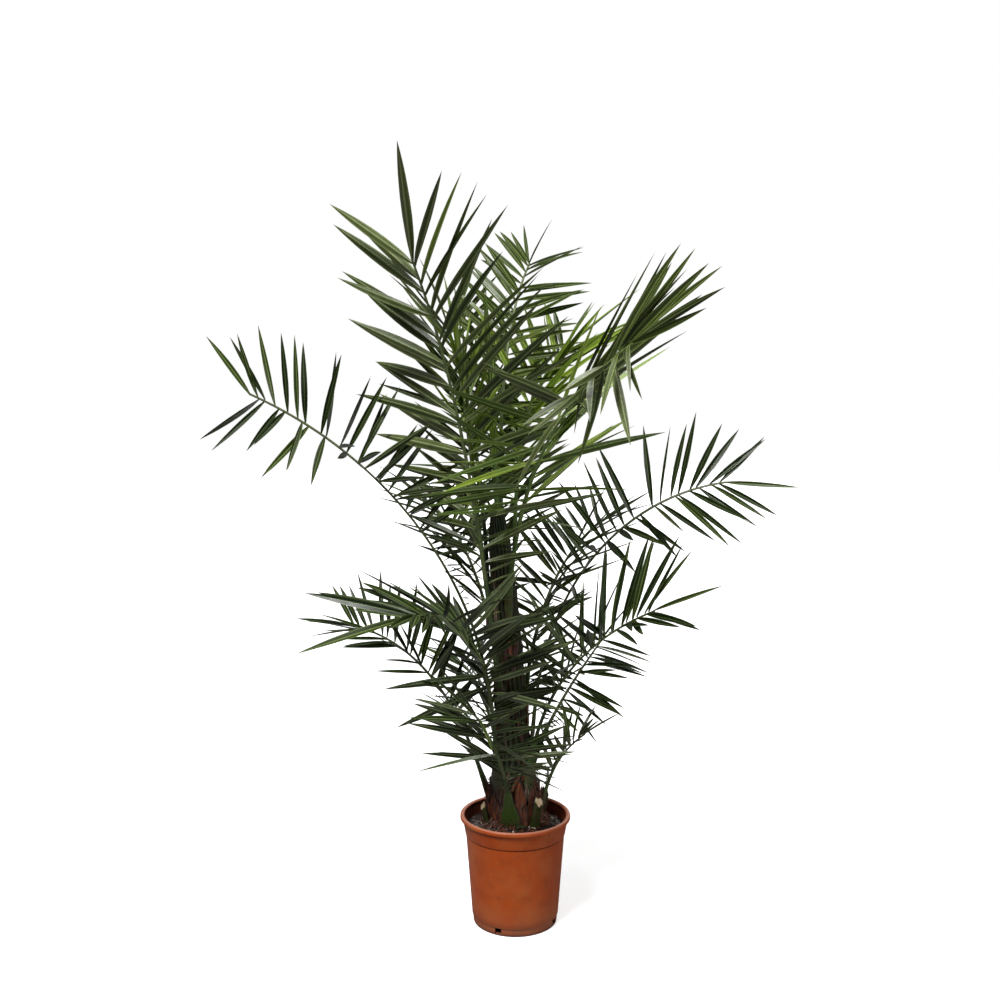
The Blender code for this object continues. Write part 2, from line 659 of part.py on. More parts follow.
# ---------------------------------------------------------------- assembly
def main():
    clear_scene()
    build_pot()
    build_soil()
    trunk = build_trunk()
    trunk_tree = BVHTree.FromPolygons([Vector(v) for v in trunk[0]], trunk[1])
    stub_finish = material("cut_base", (0.09, 0.13, 0.04), 0.7)
    standing = [trunk, build_spear()]
    standing += [build_cut_base(base, stub_finish, trunk_tree) for base in CUT_BASES]
    pot_block = [circle(np.array((0, 0, z)), POT_RIM_RADIUS, POT_SIDES) for z in (0.0, POT_HEIGHT)]
    standing.append(ring_shell(pot_block))
    solids = [FrondSolid(frond, seed, trunk_tree) for seed, frond in enumerate(FRONDS)]
    shapes = {solid.frond.name: solid.tube() for solid in solids}
    for solid in solids:
        space = Space()
        others = [shape for name, shape in shapes.items() if name != solid.frond.name]
        for shape in standing + others:
            space.add(*shape)
        finish = material(solid.frond.name, solid.frond.colour, 0.42)
        shapes[solid.frond.name] = solid.build(space, finish)


main()
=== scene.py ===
"""Looks of the potted date palm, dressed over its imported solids.

Frame: metres, +Z up, origin at the centre of the pot's flat underside, -Y the plant's front.
Fronds grow by the same rule as the solids, with the real number of leaflets.
"""

import json
import logging
import math
from collections.abc import Iterable, Sequence
from dataclasses import dataclass, field
from enum import Enum

import bmesh
import bpy
import numpy as np
from bpy.types import Material, Node, NodeSocket, NodeTree, Object
from mathutils import Matrix, Vector
from mathutils.bvhtree import BVHTree
from numpy import ndarray

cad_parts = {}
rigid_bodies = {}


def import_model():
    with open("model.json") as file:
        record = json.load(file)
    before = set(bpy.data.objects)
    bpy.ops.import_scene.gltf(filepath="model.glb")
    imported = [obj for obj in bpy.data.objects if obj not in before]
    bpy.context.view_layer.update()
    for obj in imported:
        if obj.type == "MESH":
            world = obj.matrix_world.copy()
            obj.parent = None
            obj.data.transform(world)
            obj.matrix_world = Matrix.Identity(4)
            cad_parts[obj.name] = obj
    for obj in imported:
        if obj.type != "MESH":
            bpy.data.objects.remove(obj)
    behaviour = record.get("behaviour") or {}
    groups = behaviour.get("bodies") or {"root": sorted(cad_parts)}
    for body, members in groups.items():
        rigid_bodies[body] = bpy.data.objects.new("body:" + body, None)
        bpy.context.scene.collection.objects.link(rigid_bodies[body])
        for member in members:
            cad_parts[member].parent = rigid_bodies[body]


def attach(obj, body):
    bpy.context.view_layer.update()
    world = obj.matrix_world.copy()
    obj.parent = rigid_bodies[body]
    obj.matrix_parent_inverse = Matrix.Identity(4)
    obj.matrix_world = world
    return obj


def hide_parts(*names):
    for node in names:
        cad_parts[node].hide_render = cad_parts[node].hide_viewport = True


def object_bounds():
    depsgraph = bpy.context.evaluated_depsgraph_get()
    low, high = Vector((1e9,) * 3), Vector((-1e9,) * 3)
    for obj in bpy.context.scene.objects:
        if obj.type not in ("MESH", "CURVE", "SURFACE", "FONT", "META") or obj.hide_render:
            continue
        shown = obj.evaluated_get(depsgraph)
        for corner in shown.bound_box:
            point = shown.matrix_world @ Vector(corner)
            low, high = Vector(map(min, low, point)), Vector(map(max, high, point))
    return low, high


LOG = logging.getLogger("palm")
BODY = "root"
UPRIGHT = np.array((0.0, 0.0, 1.0))
FULL_TURN = 2 * math.pi

Colour = tuple[float, float, float]
Triple = tuple[float, float, float]
Pair = tuple[float, float]
Quad = tuple[float, float, float, float]
Faces = list[tuple[int, ...]]
Solid = tuple[list[ndarray], Faces]

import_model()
CAD_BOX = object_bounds()


# ---- small maths
def along(pair: Pair, share: float) -> float:
    """Reads between two values, the first at share 0 and the second at share 1."""
    return pair[0] + (pair[1] - pair[0]) * share


def unit(vector: ndarray) -> ndarray:
    """Scales a vector to length 1."""
    return vector / np.linalg.norm(vector)


def smooth_step(value: float, low: float, high: float) -> float:
    """Rises smoothly from 0 at low to 1 at high."""
    x = min(1.0, max(0.0, (value - low) / (high - low)))
    return x * x * (3 - 2 * x)


def level_way(turn: float) -> ndarray:
    """The level unit vector at a turn in radians, from +X towards +Y."""
    return np.array((math.cos(turn), math.sin(turn), 0.0))


def heading_vector(degrees: float) -> ndarray:
    """The level unit vector at a heading in degrees, 0 along +X and 90 along +Y."""
    return level_way(math.radians(degrees))


# ---- meshes
def new_object(name: str, data: bpy.types.ID) -> Object:
    """Links a mesh, a light or a camera to the scene as an object.

    Args:
        name: The object's name.
        data: The mesh, light or camera.

    Returns:
        The new object.
    """
    item = bpy.data.objects.new(name, data)
    bpy.context.scene.collection.objects.link(item)
    return item


def mesh_object(
    name: str,
    points: Iterable[Sequence[float]],
    faces: Iterable[Sequence[int]] = (),
    edges: Iterable[Sequence[int]] = (),
) -> Object:
    """Makes an object from points with faces or edges.

    Args:
        name: The object's name.
        points: Places of its vertices.
        faces: Vertex numbers of each face.
        edges: Vertex numbers of each loose edge.

    Returns:
        The new object.
    """
    mesh = bpy.data.meshes.new(name)
    mesh.from_pydata([tuple(map(float, p)) for p in points], list(edges), list(faces))
    return new_object(name, mesh)


def face_outwards(item: Object) -> None:
    """Turns every face of a closed mesh outwards.

    Args:
        item: The object.
    """
    shaped = bmesh.new()
    shaped.from_mesh(item.data)
    bmesh.ops.recalc_face_normals(shaped, faces=shaped.faces)
    shaped.to_mesh(item.data)
    shaped.free()


def ring_faces(rings: int, sides: int) -> Faces:
    """Joins rings of points into a closed tube.

    Args:
        rings: How many rings there are.
        sides: How many points each has.

    Returns:
        Vertex numbers of each face, the two ends last.
    """
    faces: Faces = []
    for i in range(rings - 1):
        low, high = i * sides, (i + 1) * sides
        for k in range(sides):
            n = (k + 1) % sides
            faces.append((low + k, low + n, high + n, high + k))
    faces.append(tuple(reversed(range(sides))))
    faces.append(tuple(range((rings - 1) * sides, rings * sides)))
    return faces


def join_solids(solids: Iterable[Solid]) -> Solid:
    """Joins closed shapes into one.

    Args:
        solids: Points and faces of each.

    Returns:
        Points and faces of them all.
    """
    points: list[ndarray] = []
    faces: Faces = []
    for own_points, own_faces in solids:
        faces += [tuple(len(points) + i for i in face) for face in own_faces]
        points += own_points
    return points, faces


def keep_modified(item: Object) -> None:
    """Makes what an object's modifiers build its own plain mesh.

    Args:
        item: The object.
    """
    graph = bpy.context.evaluated_depsgraph_get()
    mesh = bpy.data.meshes.new_from_object(
        item.evaluated_get(graph), preserve_all_data_layers=True, depsgraph=graph
    )
    item.modifiers.clear()
    item.data = mesh
    mesh.name = item.name


def set_values(item: Object, name: str, values: Sequence, domain: str = "POINT") -> None:
    """Stores one value or vector for each point or face of a mesh.

    Args:
        item: The object whose mesh takes them.
        name: The attribute's name.
        values: A row for each point or face, of one or three numbers.
        domain: POINT or FACE.
    """
    values = np.asarray(values, np.float32)
    kind, key = ("FLOAT_VECTOR", "vector") if values.ndim == 2 else ("FLOAT", "value")
    made = item.data.attributes.new(name, kind, domain)
    made.data.foreach_set(key, values.ravel())


def shade_smooth(item: Object, angle: float = 40.0) -> None:
    """Smooths a mesh's shading except over edges sharper than an angle in degrees."""
    item.data.shade_smooth()
    item.data.set_sharp_from_angle(angle=math.radians(angle))


def dress(item: Object, finishes: Iterable, tones: Sequence[int] = ()) -> None:
    """Gives a mesh its materials.

    Args:
        item: The object.
        finishes: The finishes, which are built here.
        tones: The number of each face's finish, where there are several.
    """
    for finish in finishes:
        item.data.materials.append(finish.build())
    if tones:
        item.data.polygons.foreach_set("material_index", np.array(tones, np.int32))


def hand_over(item: Object, replaced: Iterable[str] = ()) -> None:
    """Gives a finished piece its body and the solids that it stands for.

    Args:
        item: The finished piece.
        replaced: Names of the solids that it replaces.
    """
    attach(item, BODY)
    if replaced:
        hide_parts(*replaced)
    triangles = sum(len(face.vertices) - 2 for face in item.data.polygons)
    LOG.info("piece %s: %d triangles", item.name, triangles)


# ---- Geometry Nodes
class NodeMaker:
    """Short ways of adding and joining the nodes of one tree."""

    def __init__(self, tree: NodeTree) -> None:
        """Keeps the tree that the nodes go into."""
        self.tree = tree

    def feed(self, socket: NodeSocket, value: object) -> None:
        """Links a socket to another one, or gives it a plain value.

        Args:
            socket: The input.
            value: An output socket, or a value.
        """
        if isinstance(value, NodeSocket):
            self.tree.links.new(value, socket)
        else:
            socket.default_value = value

    def add(self, kind: str, inputs: dict | None = None, **settings: object) -> Node:
        """Adds a node.

        Args:
            kind: The node's type.
            inputs: What feeds its sockets, by their names or numbers.
            settings: Its properties.

        Returns:
            The new node.
        """
        node = self.tree.nodes.new(kind)
        for name, value in settings.items():
            setattr(node, name, value)
        for key, value in (inputs or {}).items():
            self.feed(node.inputs[key], value)
        return node

    def math(self, operation: str, *values: object, clamp: bool = False) -> NodeSocket:
        """Works out a number from up to three others."""
        inputs = dict(enumerate(values))
        return self.add("ShaderNodeMath", inputs, operation=operation, use_clamp=clamp).outputs[0]

    def times(self, first: object, second: object, clamp: bool = False) -> NodeSocket:
        """Multiplies two numbers."""
        return self.math("MULTIPLY", first, second, clamp=clamp)

    def scaled(self, vector: NodeSocket, scale: object) -> NodeSocket:
        """Multiplies a vector by a number."""
        inputs = {0: vector, "Scale": scale}
        return self.add("ShaderNodeVectorMath", inputs, operation="SCALE").outputs[0]

    def sum(self, first: NodeSocket, second: NodeSocket) -> NodeSocket:
        """Adds two vectors."""
        return self.add("ShaderNodeVectorMath", {0: first, 1: second}, operation="ADD").outputs[0]

    def parts(self, vector: NodeSocket) -> Sequence[NodeSocket]:
        """The X, Y and Z of a vector."""
        return self.add("ShaderNodeSeparateXYZ", {0: vector}).outputs

    def remap(
        self, value: object, source: Sequence = (0.0, 1.0), result: Pair = (0.0, 1.0)
    ) -> NodeSocket:
        """Maps one range onto another, and keeps the result inside it.

        Args:
            value: The value.
            source: The range that it comes from.
            result: The range that it goes to.

        Returns:
            The mapped value.
        """
        keys = ("Value", "From Min", "From Max", "To Min", "To Max")
        inputs = dict(zip(keys, (value, *source, *result)))
        return self.add("ShaderNodeMapRange", inputs).outputs["Result"]


class GeometryTree(NodeMaker):
    """A Geometry Nodes tree with named inputs, and the modifier that runs it."""

    STORED: tuple[str, ...] = ()  # values that the plain result doesn't keep

    def __init__(self, name: str, tones: int) -> None:
        """Builds a tree.

        Args:
            name: The tree's name.
            tones: How many materials the result takes.
        """
        super().__init__(bpy.data.node_groups.new(name, "GeometryNodeTree"))
        labels = {"Geometry": "Geometry", "Shape": "Object"}
        labels |= {f"Finish {k}": "Material" for k in range(tones)}
        face = self.tree.interface
        for label, kind in labels.items():
            face.new_socket(label, in_out="INPUT", socket_type=f"NodeSocket{kind}")
        face.new_socket("Geometry", in_out="OUTPUT", socket_type="NodeSocketGeometry")
        self.given = self.add("NodeGroupInput").outputs
        inputs = {"Object": self.given["Shape"]}
        shape = self.add("GeometryNodeObjectInfo", inputs, transform_space="ORIGINAL")
        self.finish(self.shaped(shape.outputs["Geometry"]), tones)

    def value(self, name: str, kind: str = "FLOAT_VECTOR") -> NodeSocket:
        """Reads a stored value of the geometry, a FLOAT or a FLOAT_VECTOR."""
        node = self.add("GeometryNodeInputNamedAttribute", {"Name": name}, data_type=kind)
        return next(s for s in node.outputs if s.enabled and s.name == "Attribute")

    def shaped(self, shape: NodeSocket) -> NodeSocket:
        """The tree's own part: repeats a shape on the points or paths."""
        raise NotImplementedError

    def finish(self, geometry: NodeSocket, tones: int) -> None:
        """Ends the tree: instances are realized and each tone's faces take its material.

        Args:
            geometry: The shaped geometry.
            tones: How many materials it takes.
        """
        tone = self.math("ADD", self.value("tone", "FLOAT"), self.value("face_tone", "FLOAT"))
        geometry = self.add("GeometryNodeRealizeInstances", {"Geometry": geometry}).outputs["Geometry"]
        for k in range(tones):
            inputs = {"Geometry": geometry, "Material": self.given[f"Finish {k}"]}
            if k:
                inputs["Selection"] = self.math("GREATER_THAN", tone, k - 0.5)
            geometry = self.add("GeometryNodeSetMaterial", inputs).outputs["Geometry"]
        self.add("NodeGroupOutput", {"Geometry": geometry})

    def run(self, item: Object, shape: Object, finishes: Sequence[Material]) -> None:
        """Runs the tree on an object, whose mesh becomes the plain result.

        Args:
            item: The object that carries the tree's points or paths.
            shape: The object that the tree repeats, which is then removed.
            finishes: One material for each tone.
        """
        modifier = item.modifiers.new(self.tree.name, "NODES")
        modifier.node_group = self.tree
        given = {"Shape": shape} | {f"Finish {k}": made for k, made in enumerate(finishes)}
        for socket in self.tree.interface.items_tree:
            if socket.in_out == "INPUT" and socket.name in given:
                modifier[socket.identifier] = given[socket.name]
        keep_modified(item)
        for name in self.STORED:
            found = item.data.attributes.get(name)
            if found is not None:
                item.data.attributes.remove(found)
        bpy.data.objects.remove(shape)


class ScatterTree(GeometryTree):
    """Sets one shape on every point, turned, sized and bent by the values stored there."""

    STORED = ("line", "upper", "size", "bend")

    def shaped(self, shape: NodeSocket) -> NodeSocket:
        """Sets the shape on the points.

        Args:
            shape: The shape.

        Returns:
            The shaped geometry.
        """
        axes = {"Primary Axis": self.value("line"), "Secondary Axis": self.value("upper")}
        turn = self.add("FunctionNodeAxesToRotation", axes, primary_axis="Y", secondary_axis="Z")
        spread = self.add("GeometryNodeInstanceOnPoints", {
            "Points": self.given["Geometry"], "Instance": shape,
            "Rotation": turn.outputs["Rotation"], "Scale": self.value("size"),
        })
        real = self.add("GeometryNodeRealizeInstances", {"Geometry": spread.outputs["Instances"]})
        reach = self.value("reach", "FLOAT")
        curve = self.scaled(self.value("bend"), self.times(reach, reach))
        inputs = {"Geometry": real.outputs["Geometry"], "Offset": curve}
        return self.add("GeometryNodeSetPosition", inputs).outputs["Geometry"]


class TubeTree(GeometryTree):
    """Draws a closed tube along every path, with the section's size and axes stored on the path."""

    STORED = ("place", "side", "up", "half", "corner")

    def shaped(self, shape: NodeSocket) -> NodeSocket:
        """Draws the tubes.

        Args:
            shape: Their section.

        Returns:
            The shaped geometry.
        """
        outline = self.add("GeometryNodeMeshToCurve", {"Mesh": shape})
        paths = self.add("GeometryNodeMeshToCurve", {"Mesh": self.given["Geometry"]})
        tube = self.add("GeometryNodeCurveToMesh", {
            "Curve": paths.outputs["Curve"], "Profile Curve": outline.outputs["Curve"], "Fill Caps": True,
        })
        corner, half = self.parts(self.value("corner")), self.parts(self.value("half"))
        across = self.scaled(self.value("side"), self.times(corner["X"], half["X"]))
        upwards = self.scaled(self.value("up"), self.times(corner["Y"], half["Y"]))
        where = self.sum(self.value("place"), self.sum(across, upwards))
        inputs = {"Geometry": tube.outputs["Mesh"], "Position": where}
        return self.add("GeometryNodeSetPosition", inputs).outputs["Geometry"]


@dataclass
class Scatter:
    """Points that each carry one small shape, gathered before they are made a piece."""

    rows: list[tuple] = field(default_factory=list)

    def add(
        self, point: ndarray, line: ndarray, upper: ndarray, size: Triple, tone: float,
        bend: ndarray | None = None,
    ) -> None:
        """Adds a shape: its root, line, upper side and size, its tone and its tip's bend."""
        self.rows.append((point, line, upper, size, np.zeros(3) if bend is None else bend, tone))

    def make(self, name: str, shape: Object, finishes: Sequence[Material]) -> Object:
        """Turns the points into one plain mesh.

        Args:
            name: The piece's name.
            shape: The object that is set on each point. Its own tone is added to the point's.
            finishes: One material for each tone.

        Returns:
            The finished object.
        """
        points, *values = zip(*self.rows)
        item = mesh_object(name, points)
        for key, rows in zip((*ScatterTree.STORED, "tone"), values):
            set_values(item, key, rows)
        ScatterTree(f"{name}_rows", len(finishes)).run(item, shape, finishes)
        return item


@dataclass
class Tubes:
    """Paths that each carry one closed tube, gathered before they are made a piece."""

    rows: list[tuple] = field(default_factory=list)
    edges: list[tuple[int, int]] = field(default_factory=list)

    def add_path(self, rows: Sequence[tuple]) -> None:
        """Adds one path.

        Args:
            rows: For each of its points the place, the ways that the section's width and depth
                run, half its width, half its depth and 0, and the number of its finish.
        """
        first = len(self.rows)
        self.rows += rows
        self.edges += [(k, k + 1) for k in range(first, len(self.rows) - 1)]

    def add_thread(self, points: Sequence[ndarray], radii: Sequence[float], tone: float = 0.0) -> None:
        """Adds one round thread.

        Args:
            points: Where it runs.
            radii: Its radius at each point.
            tone: The number of its finish.
        """
        rows = []
        for point, tangent, radius in zip(points, np.gradient(np.array(points), axis=0), radii):
            helper = UPRIGHT if abs(unit(tangent)[2]) < 0.9 else np.array((1.0, 0.0, 0.0))
            side = unit(np.cross(tangent, helper))
            rows.append((point, side, unit(np.cross(side, tangent)), (radius, radius, 0.0), tone))
        self.add_path(rows)

    def make(self, name: str, section: Sequence[Pair], finishes: Sequence[Material]) -> Object:
        """Turns the paths into one plain mesh of closed tubes.

        Args:
            name: The piece's name.
            section: Places round the section, in shares of its half width and half depth.
            finishes: One material for each tone.

        Returns:
            The finished object.
        """
        values = list(zip(*self.rows))
        item = mesh_object(name, values[0], edges=self.edges)
        for key, rows in zip(("place", "side", "up", "half", "tone"), values):
            set_values(item, key, rows)
        flat = [(x, y, 0.0) for x, y in section]
        loop = [(k, (k + 1) % len(flat)) for k in range(len(flat))]
        outline = mesh_object(f"{name}_section", flat, edges=loop)
        set_values(outline, "corner", flat)
        TubeTree(f"{name}_paths", len(finishes)).run(item, outline, finishes)
        face_outwards(item)
        return item


def round_section(sides: int) -> list[Pair]:
    """Places of a round section's corners, in shares of its radius."""
    turns = [FULL_TURN * k / sides for k in range(sides)]
    return [(math.cos(a), math.sin(a)) for a in turns]


# ---- shader groups
class Group(NodeMaker):
    """One shader node group, built once and used by several finishes."""

    made: dict[str, NodeTree] = {}

    def __init__(self, name: str, inputs: dict[str, float]) -> None:
        """Starts a group.

        Args:
            name: The group's name.
            inputs: The default value of each named input.
        """
        super().__init__(bpy.data.node_groups.new(name, "ShaderNodeTree"))
        for label, default in inputs.items():
            socket = self.tree.interface.new_socket(label, in_out="INPUT", socket_type="NodeSocketFloat")
            socket.default_value = default
        self.given = self.add("NodeGroupInput").outputs
        Group.made[name] = self.tree

    def place(self) -> NodeSocket:
        """The place on the object."""
        return self.add("ShaderNodeTexCoord").outputs["Object"]

    def noise(self, place: object, scale: object, detail: float) -> NodeSocket:
        """A noise pattern from 0 to 1 of a scale and a fineness."""
        inputs = {"Vector": place, "Scale": scale, "Detail": detail}
        return self.add("ShaderNodeTexNoise", inputs).outputs[0]

    def end(self, **results: NodeSocket) -> None:
        """Ends the group.

        Args:
            results: What it puts out, by name.
        """
        for label in results:
            self.tree.interface.new_socket(label, in_out="OUTPUT", socket_type="NodeSocketFloat")
        self.add("NodeGroupOutput", results)


def build_mottle_group() -> None:
    """Soft patches of two sizes, for colour and roughness that vary over a surface."""
    group = Group("soft_mottle", {"Scale": 40.0, "Low": 0.35, "High": 0.65})
    scale, low, high = (group.given[name] for name in ("Scale", "Low", "High"))
    place = group.place()
    broad = group.noise(place, scale, 4.0)
    group.end(Mask=group.remap(broad, (low, high)), Fine=group.noise(place, group.times(scale, 9.0), 2.0))


def build_fibre_group() -> None:
    """Fine strands that run up the plant, for fibre and stalks."""
    group = Group("upright_fibre", {"Scale": 300.0, "Stretch": 0.06})
    scale, place = group.given["Scale"], group.place()
    x, y, z = group.parts(place)
    drawn = group.add("ShaderNodeCombineXYZ", {0: x, 1: y, 2: group.times(z, group.given["Stretch"])})
    strands = group.noise(drawn.outputs[0], scale, 5.0)
    patches = group.noise(place, group.times(scale, 0.12), 3.0)
    group.end(Strands=group.remap(strands, (0.36, 0.64)), Patches=group.remap(patches, (0.38, 0.62)))


def build_vein_group() -> None:
    """Veins, midrib, margin and tip of a leaflet, from the place stored on it; the pale margin is partly a
    painted highlight.
    """
    group = Group("leaf_veins", {"Veins": 2.5})
    stored = group.add("ShaderNodeAttribute", attribute_name="leaf_place").outputs["Vector"]
    across, reach, _ = group.parts(stored)
    away = group.math("ABSOLUTE", across)
    group.end(
        Height=group.math("SINE", group.times(across, group.times(group.given["Veins"], math.pi))),
        Midrib=group.remap(away, (0.26, 0.04)),
        # the pale margin band: partly the leaflet's own edge, partly a painted highlight along lit edges
        Margin=group.remap(away, (0.60, 0.95)),
        Tip=group.remap(reach, (0.965, 0.995)),
    )


# ---- finishes
class Finish(NodeMaker):
    """A material under way: its Principled shader and the nodes that feed it."""

    def __init__(self, name: str) -> None:
        """Starts a material.

        Args:
            name: Its name.
        """
        self.made = bpy.data.materials.new(name)
        self.made.use_nodes = True
        super().__init__(self.made.node_tree)
        self.shader = self.tree.nodes["Principled BSDF"]

    def use(self, group: str, **values: float) -> Sequence[NodeSocket]:
        """Places a shader group with those inputs and gives its outputs."""
        return self.add("ShaderNodeGroup", values, node_tree=Group.made[group]).outputs

    def blend(self, mask: object, first: object, second: object, most: float = 1.0) -> NodeSocket:
        """Mixes two colours.

        Args:
            mask: How far the second shows.
            first: A colour or a socket.
            second: A colour or a socket.
            most: The share of the second where the mask is 1.

        Returns:
            The mixed colour.
        """
        mask = mask if most == 1.0 else self.times(mask, most)
        first, second = ((*c, 1.0) if isinstance(c, tuple) else c for c in (first, second))
        return self.add("ShaderNodeMix", {0: mask, 6: first, 7: second}, data_type="RGBA").outputs[2]

    def end(
        self, colour: object, rough: object, height: object, relief: Pair, gloss: float = 0.5
    ) -> Material:
        """Feeds the shader.

        Args:
            colour: The base colour.
            rough: The roughness.
            height: The height of its bumps, from 0 to 1.
            relief: How strongly they show, and their real height in metres.
            gloss: The specular level.

        Returns:
            The material.
        """
        inputs = {"Strength": relief[0], "Distance": relief[1], "Height": height}
        normal = self.add("ShaderNodeBump", inputs).outputs["Normal"]
        keys = ("Base Color", "Roughness", "Normal", "Specular IOR Level")
        for key, value in zip(keys, (colour, rough, normal, gloss)):
            self.feed(self.shader.inputs[key], value)
        return self.made


def shade(colour: Colour, factor: float) -> Colour:
    """Makes a colour darker or lighter by a factor."""
    return tuple(min(1.0, part * factor) for part in colour)


@dataclass(frozen=True)
class LeafFinish:
    """A leaflet's green, plain in itself, with its veins, midrib, a pale margin that is partly a painted
    highlight, and dry tip.
    """

    name: str
    colour: Colour
    # also laid on the margin, where it is partly a painted highlight
    midrib: Colour
    roughness: Pair = (0.30, 0.42)
    gloss: float = 0.36
    dry: Colour = (0.16, 0.10, 0.035)

    def build(self) -> Material:
        """Makes the material.

        Returns:
            The material.
        """
        finish = Finish(self.name)
        veins = finish.use("leaf_veins")
        mottle = finish.use("soft_mottle", Scale=55.0, Low=0.3, High=0.7)
        colour = finish.blend(mottle["Mask"], shade(self.colour, 0.86), shade(self.colour, 1.14))
        colour = finish.blend(veins["Midrib"], colour, self.midrib, 0.9)
        # the margin takes the pale midrib colour, partly as a painted highlight
        colour = finish.blend(veins["Margin"], colour, self.midrib, 0.6)
        colour = finish.blend(veins["Tip"], colour, self.dry)
        rough = finish.remap(mottle["Mask"], result=self.roughness)
        return finish.end(colour, rough, veins["Height"], (0.012, 0.0003), self.gloss)


@dataclass(frozen=True)
class FibreFinish:
    """Strands of two colours under patches of a third."""

    name: str
    dark: Colour
    light: Colour
    ground: Colour
    scale: float = 320.0
    stretch: float = 0.10
    patches: float = 0.6
    roughness: Pair = (0.72, 0.95)
    relief: Pair = (0.7, 0.0012)

    def build(self) -> Material:
        """Makes the material.

        Returns:
            The material.
        """
        finish = Finish(self.name)
        fibre = finish.use("upright_fibre", Scale=self.scale, Stretch=self.stretch)
        colour = finish.blend(fibre["Strands"], self.dark, self.light)
        colour = finish.blend(fibre["Patches"], colour, self.ground, self.patches)
        rough = finish.remap(fibre["Strands"], result=self.roughness)
        return finish.end(colour, rough, fibre["Strands"], self.relief)


BROWN_SCURF = (0.070, 0.026, 0.011)


def stalk_finish(name: str, colour: Colour, scurf: float) -> FibreFinish:
    """A stalk's green or brown, with fine strands and patches of brown scurf."""
    strands = (shade(colour, 0.8), shade(colour, 1.15), BROWN_SCURF)
    return FibreFinish(name, *strands, 260.0, 0.08, scurf, (0.35, 0.55), (0.35, 0.0006))


@dataclass(frozen=True)
class GrainyFinish:
    """Crumbly stuff such as soil, bark and cut wood."""

    name: str
    dark: Colour
    light: Colour
    scale: float
    roughness: Pair = (0.75, 1.0)
    depth: float = 0.0015

    def build(self) -> Material:
        """Makes the material.

        Returns:
            The material.
        """
        finish = Finish(self.name)
        mottle = finish.use("soft_mottle", Scale=self.scale, Low=0.3, High=0.7)
        colour = finish.blend(mottle["Mask"], self.dark, self.light)
        rough = finish.remap(mottle["Fine"], result=self.roughness)
        return finish.end(colour, rough, mottle["Fine"], (0.8, self.depth))


@dataclass(frozen=True)
class PotFinish:
    """Moulded terracotta-coloured plastic, scuffed, with dust near its foot, a pale rim top and ledge line
    that are partly dust and wear and partly painted highlight, and painted shade in its grooves.
    """

    name: str = "terracotta_plastic"
    colour: Colour = (0.370, 0.054, 0.004)
    worn: Colour = (0.390, 0.088, 0.018)
    stain: Colour = (0.230, 0.040, 0.007)
    dust: Colour = (0.27, 0.13, 0.075)
    dust_top: float = 0.075
    # the colour of the painted shade along the grooves
    groove_shade: Colour = (0.045, 0.010, 0.004)
    grooves: tuple[float, ...] = (0.2128, 0.2492)  # heights of the crease under the lip and of the step's groove, darkened there as painted shade
    groove: float = 0.0012
    # pale colour of the rim's top and of the ledge line: partly scraped plastic, partly painted highlight
    scraped_and_highlight: Colour = (0.52, 0.26, 0.18)
    rim_wear_and_highlight: Pair = (0.2562, 0.2597)
    muddy: float = 0.009
    mud: Colour = (0.060, 0.030, 0.020)
    ledge: float = 0.0192

    def build(self) -> Material:
        """Makes the material.

        Returns:
            The material.
        """
        finish = Finish(self.name)
        mottle = finish.use("soft_mottle", Scale=14.0, Low=0.35, High=0.7)
        scuffs = finish.use("soft_mottle", Scale=90.0, Low=0.55, High=0.72)
        stains = finish.use("soft_mottle", Scale=34.0, Low=0.5, High=0.75)
        height = finish.parts(finish.add("ShaderNodeTexCoord").outputs["Object"])["Z"]
        fine, work, times = scuffs["Fine"], finish.math, finish.times
        colour = finish.blend(mottle["Mask"], self.colour, self.worn)
        colour = finish.blend(stains["Mask"], colour, self.stain, 0.55)
        dusty = times(finish.remap(height, (self.dust_top, 0.0)), finish.remap(fine, result=(0.2, 1.0)))
        dusty = work("ADD", dusty, times(scuffs["Mask"], 0.2), clamp=True)
        band = times(work("LESS_THAN", height, self.ledge), finish.remap(fine, result=(0.0, 0.6)))
        dusty = work("ADD", dusty, band, clamp=True)
        colour = finish.blend(dusty, colour, self.dust, 0.55)
        # the rolled lip's top is paler: partly wear and dust, partly a painted highlight
        rim = times(finish.remap(height, self.rim_wear_and_highlight), finish.remap(fine, result=(0.3, 1.0)))
        colour = finish.blend(rim, colour, self.scraped_and_highlight, 0.85)
        # a pale line along the foot band's ledge: partly scraped, partly a painted highlight
        ledge = times(work("COMPARE", height, self.ledge, 0.0009), finish.remap(fine))
        colour = finish.blend(ledge, colour, self.scraped_and_highlight, 0.8)
        soiled_and_shaded = finish.remap(stains["Fine"], result=(0.2, 1.6))
        mud = times(finish.remap(height, (self.muddy, 0.0)), soiled_and_shaded, clamp=True)
        colour = finish.blend(mud, colour, self.mud)
        # painted shade: a dark line along the crease under the lip and along the step's groove
        for groove in self.grooves:
            near = work("COMPARE", height, groove, self.groove)
            colour = finish.blend(near, colour, self.groove_shade, 0.8)
        rough = finish.remap(mottle["Fine"], result=(0.34, 0.5))
        rough = work("ADD", rough, times(dusty, 0.3), clamp=True)
        return finish.end(colour, rough, fine, (0.15, 0.0004), 0.30)


# ---- the plant's plan
class Green(Enum):
    """Which green a frond has."""

    DEEP = "deep"
    OLIVE = "olive"
    FRESH = "fresh"


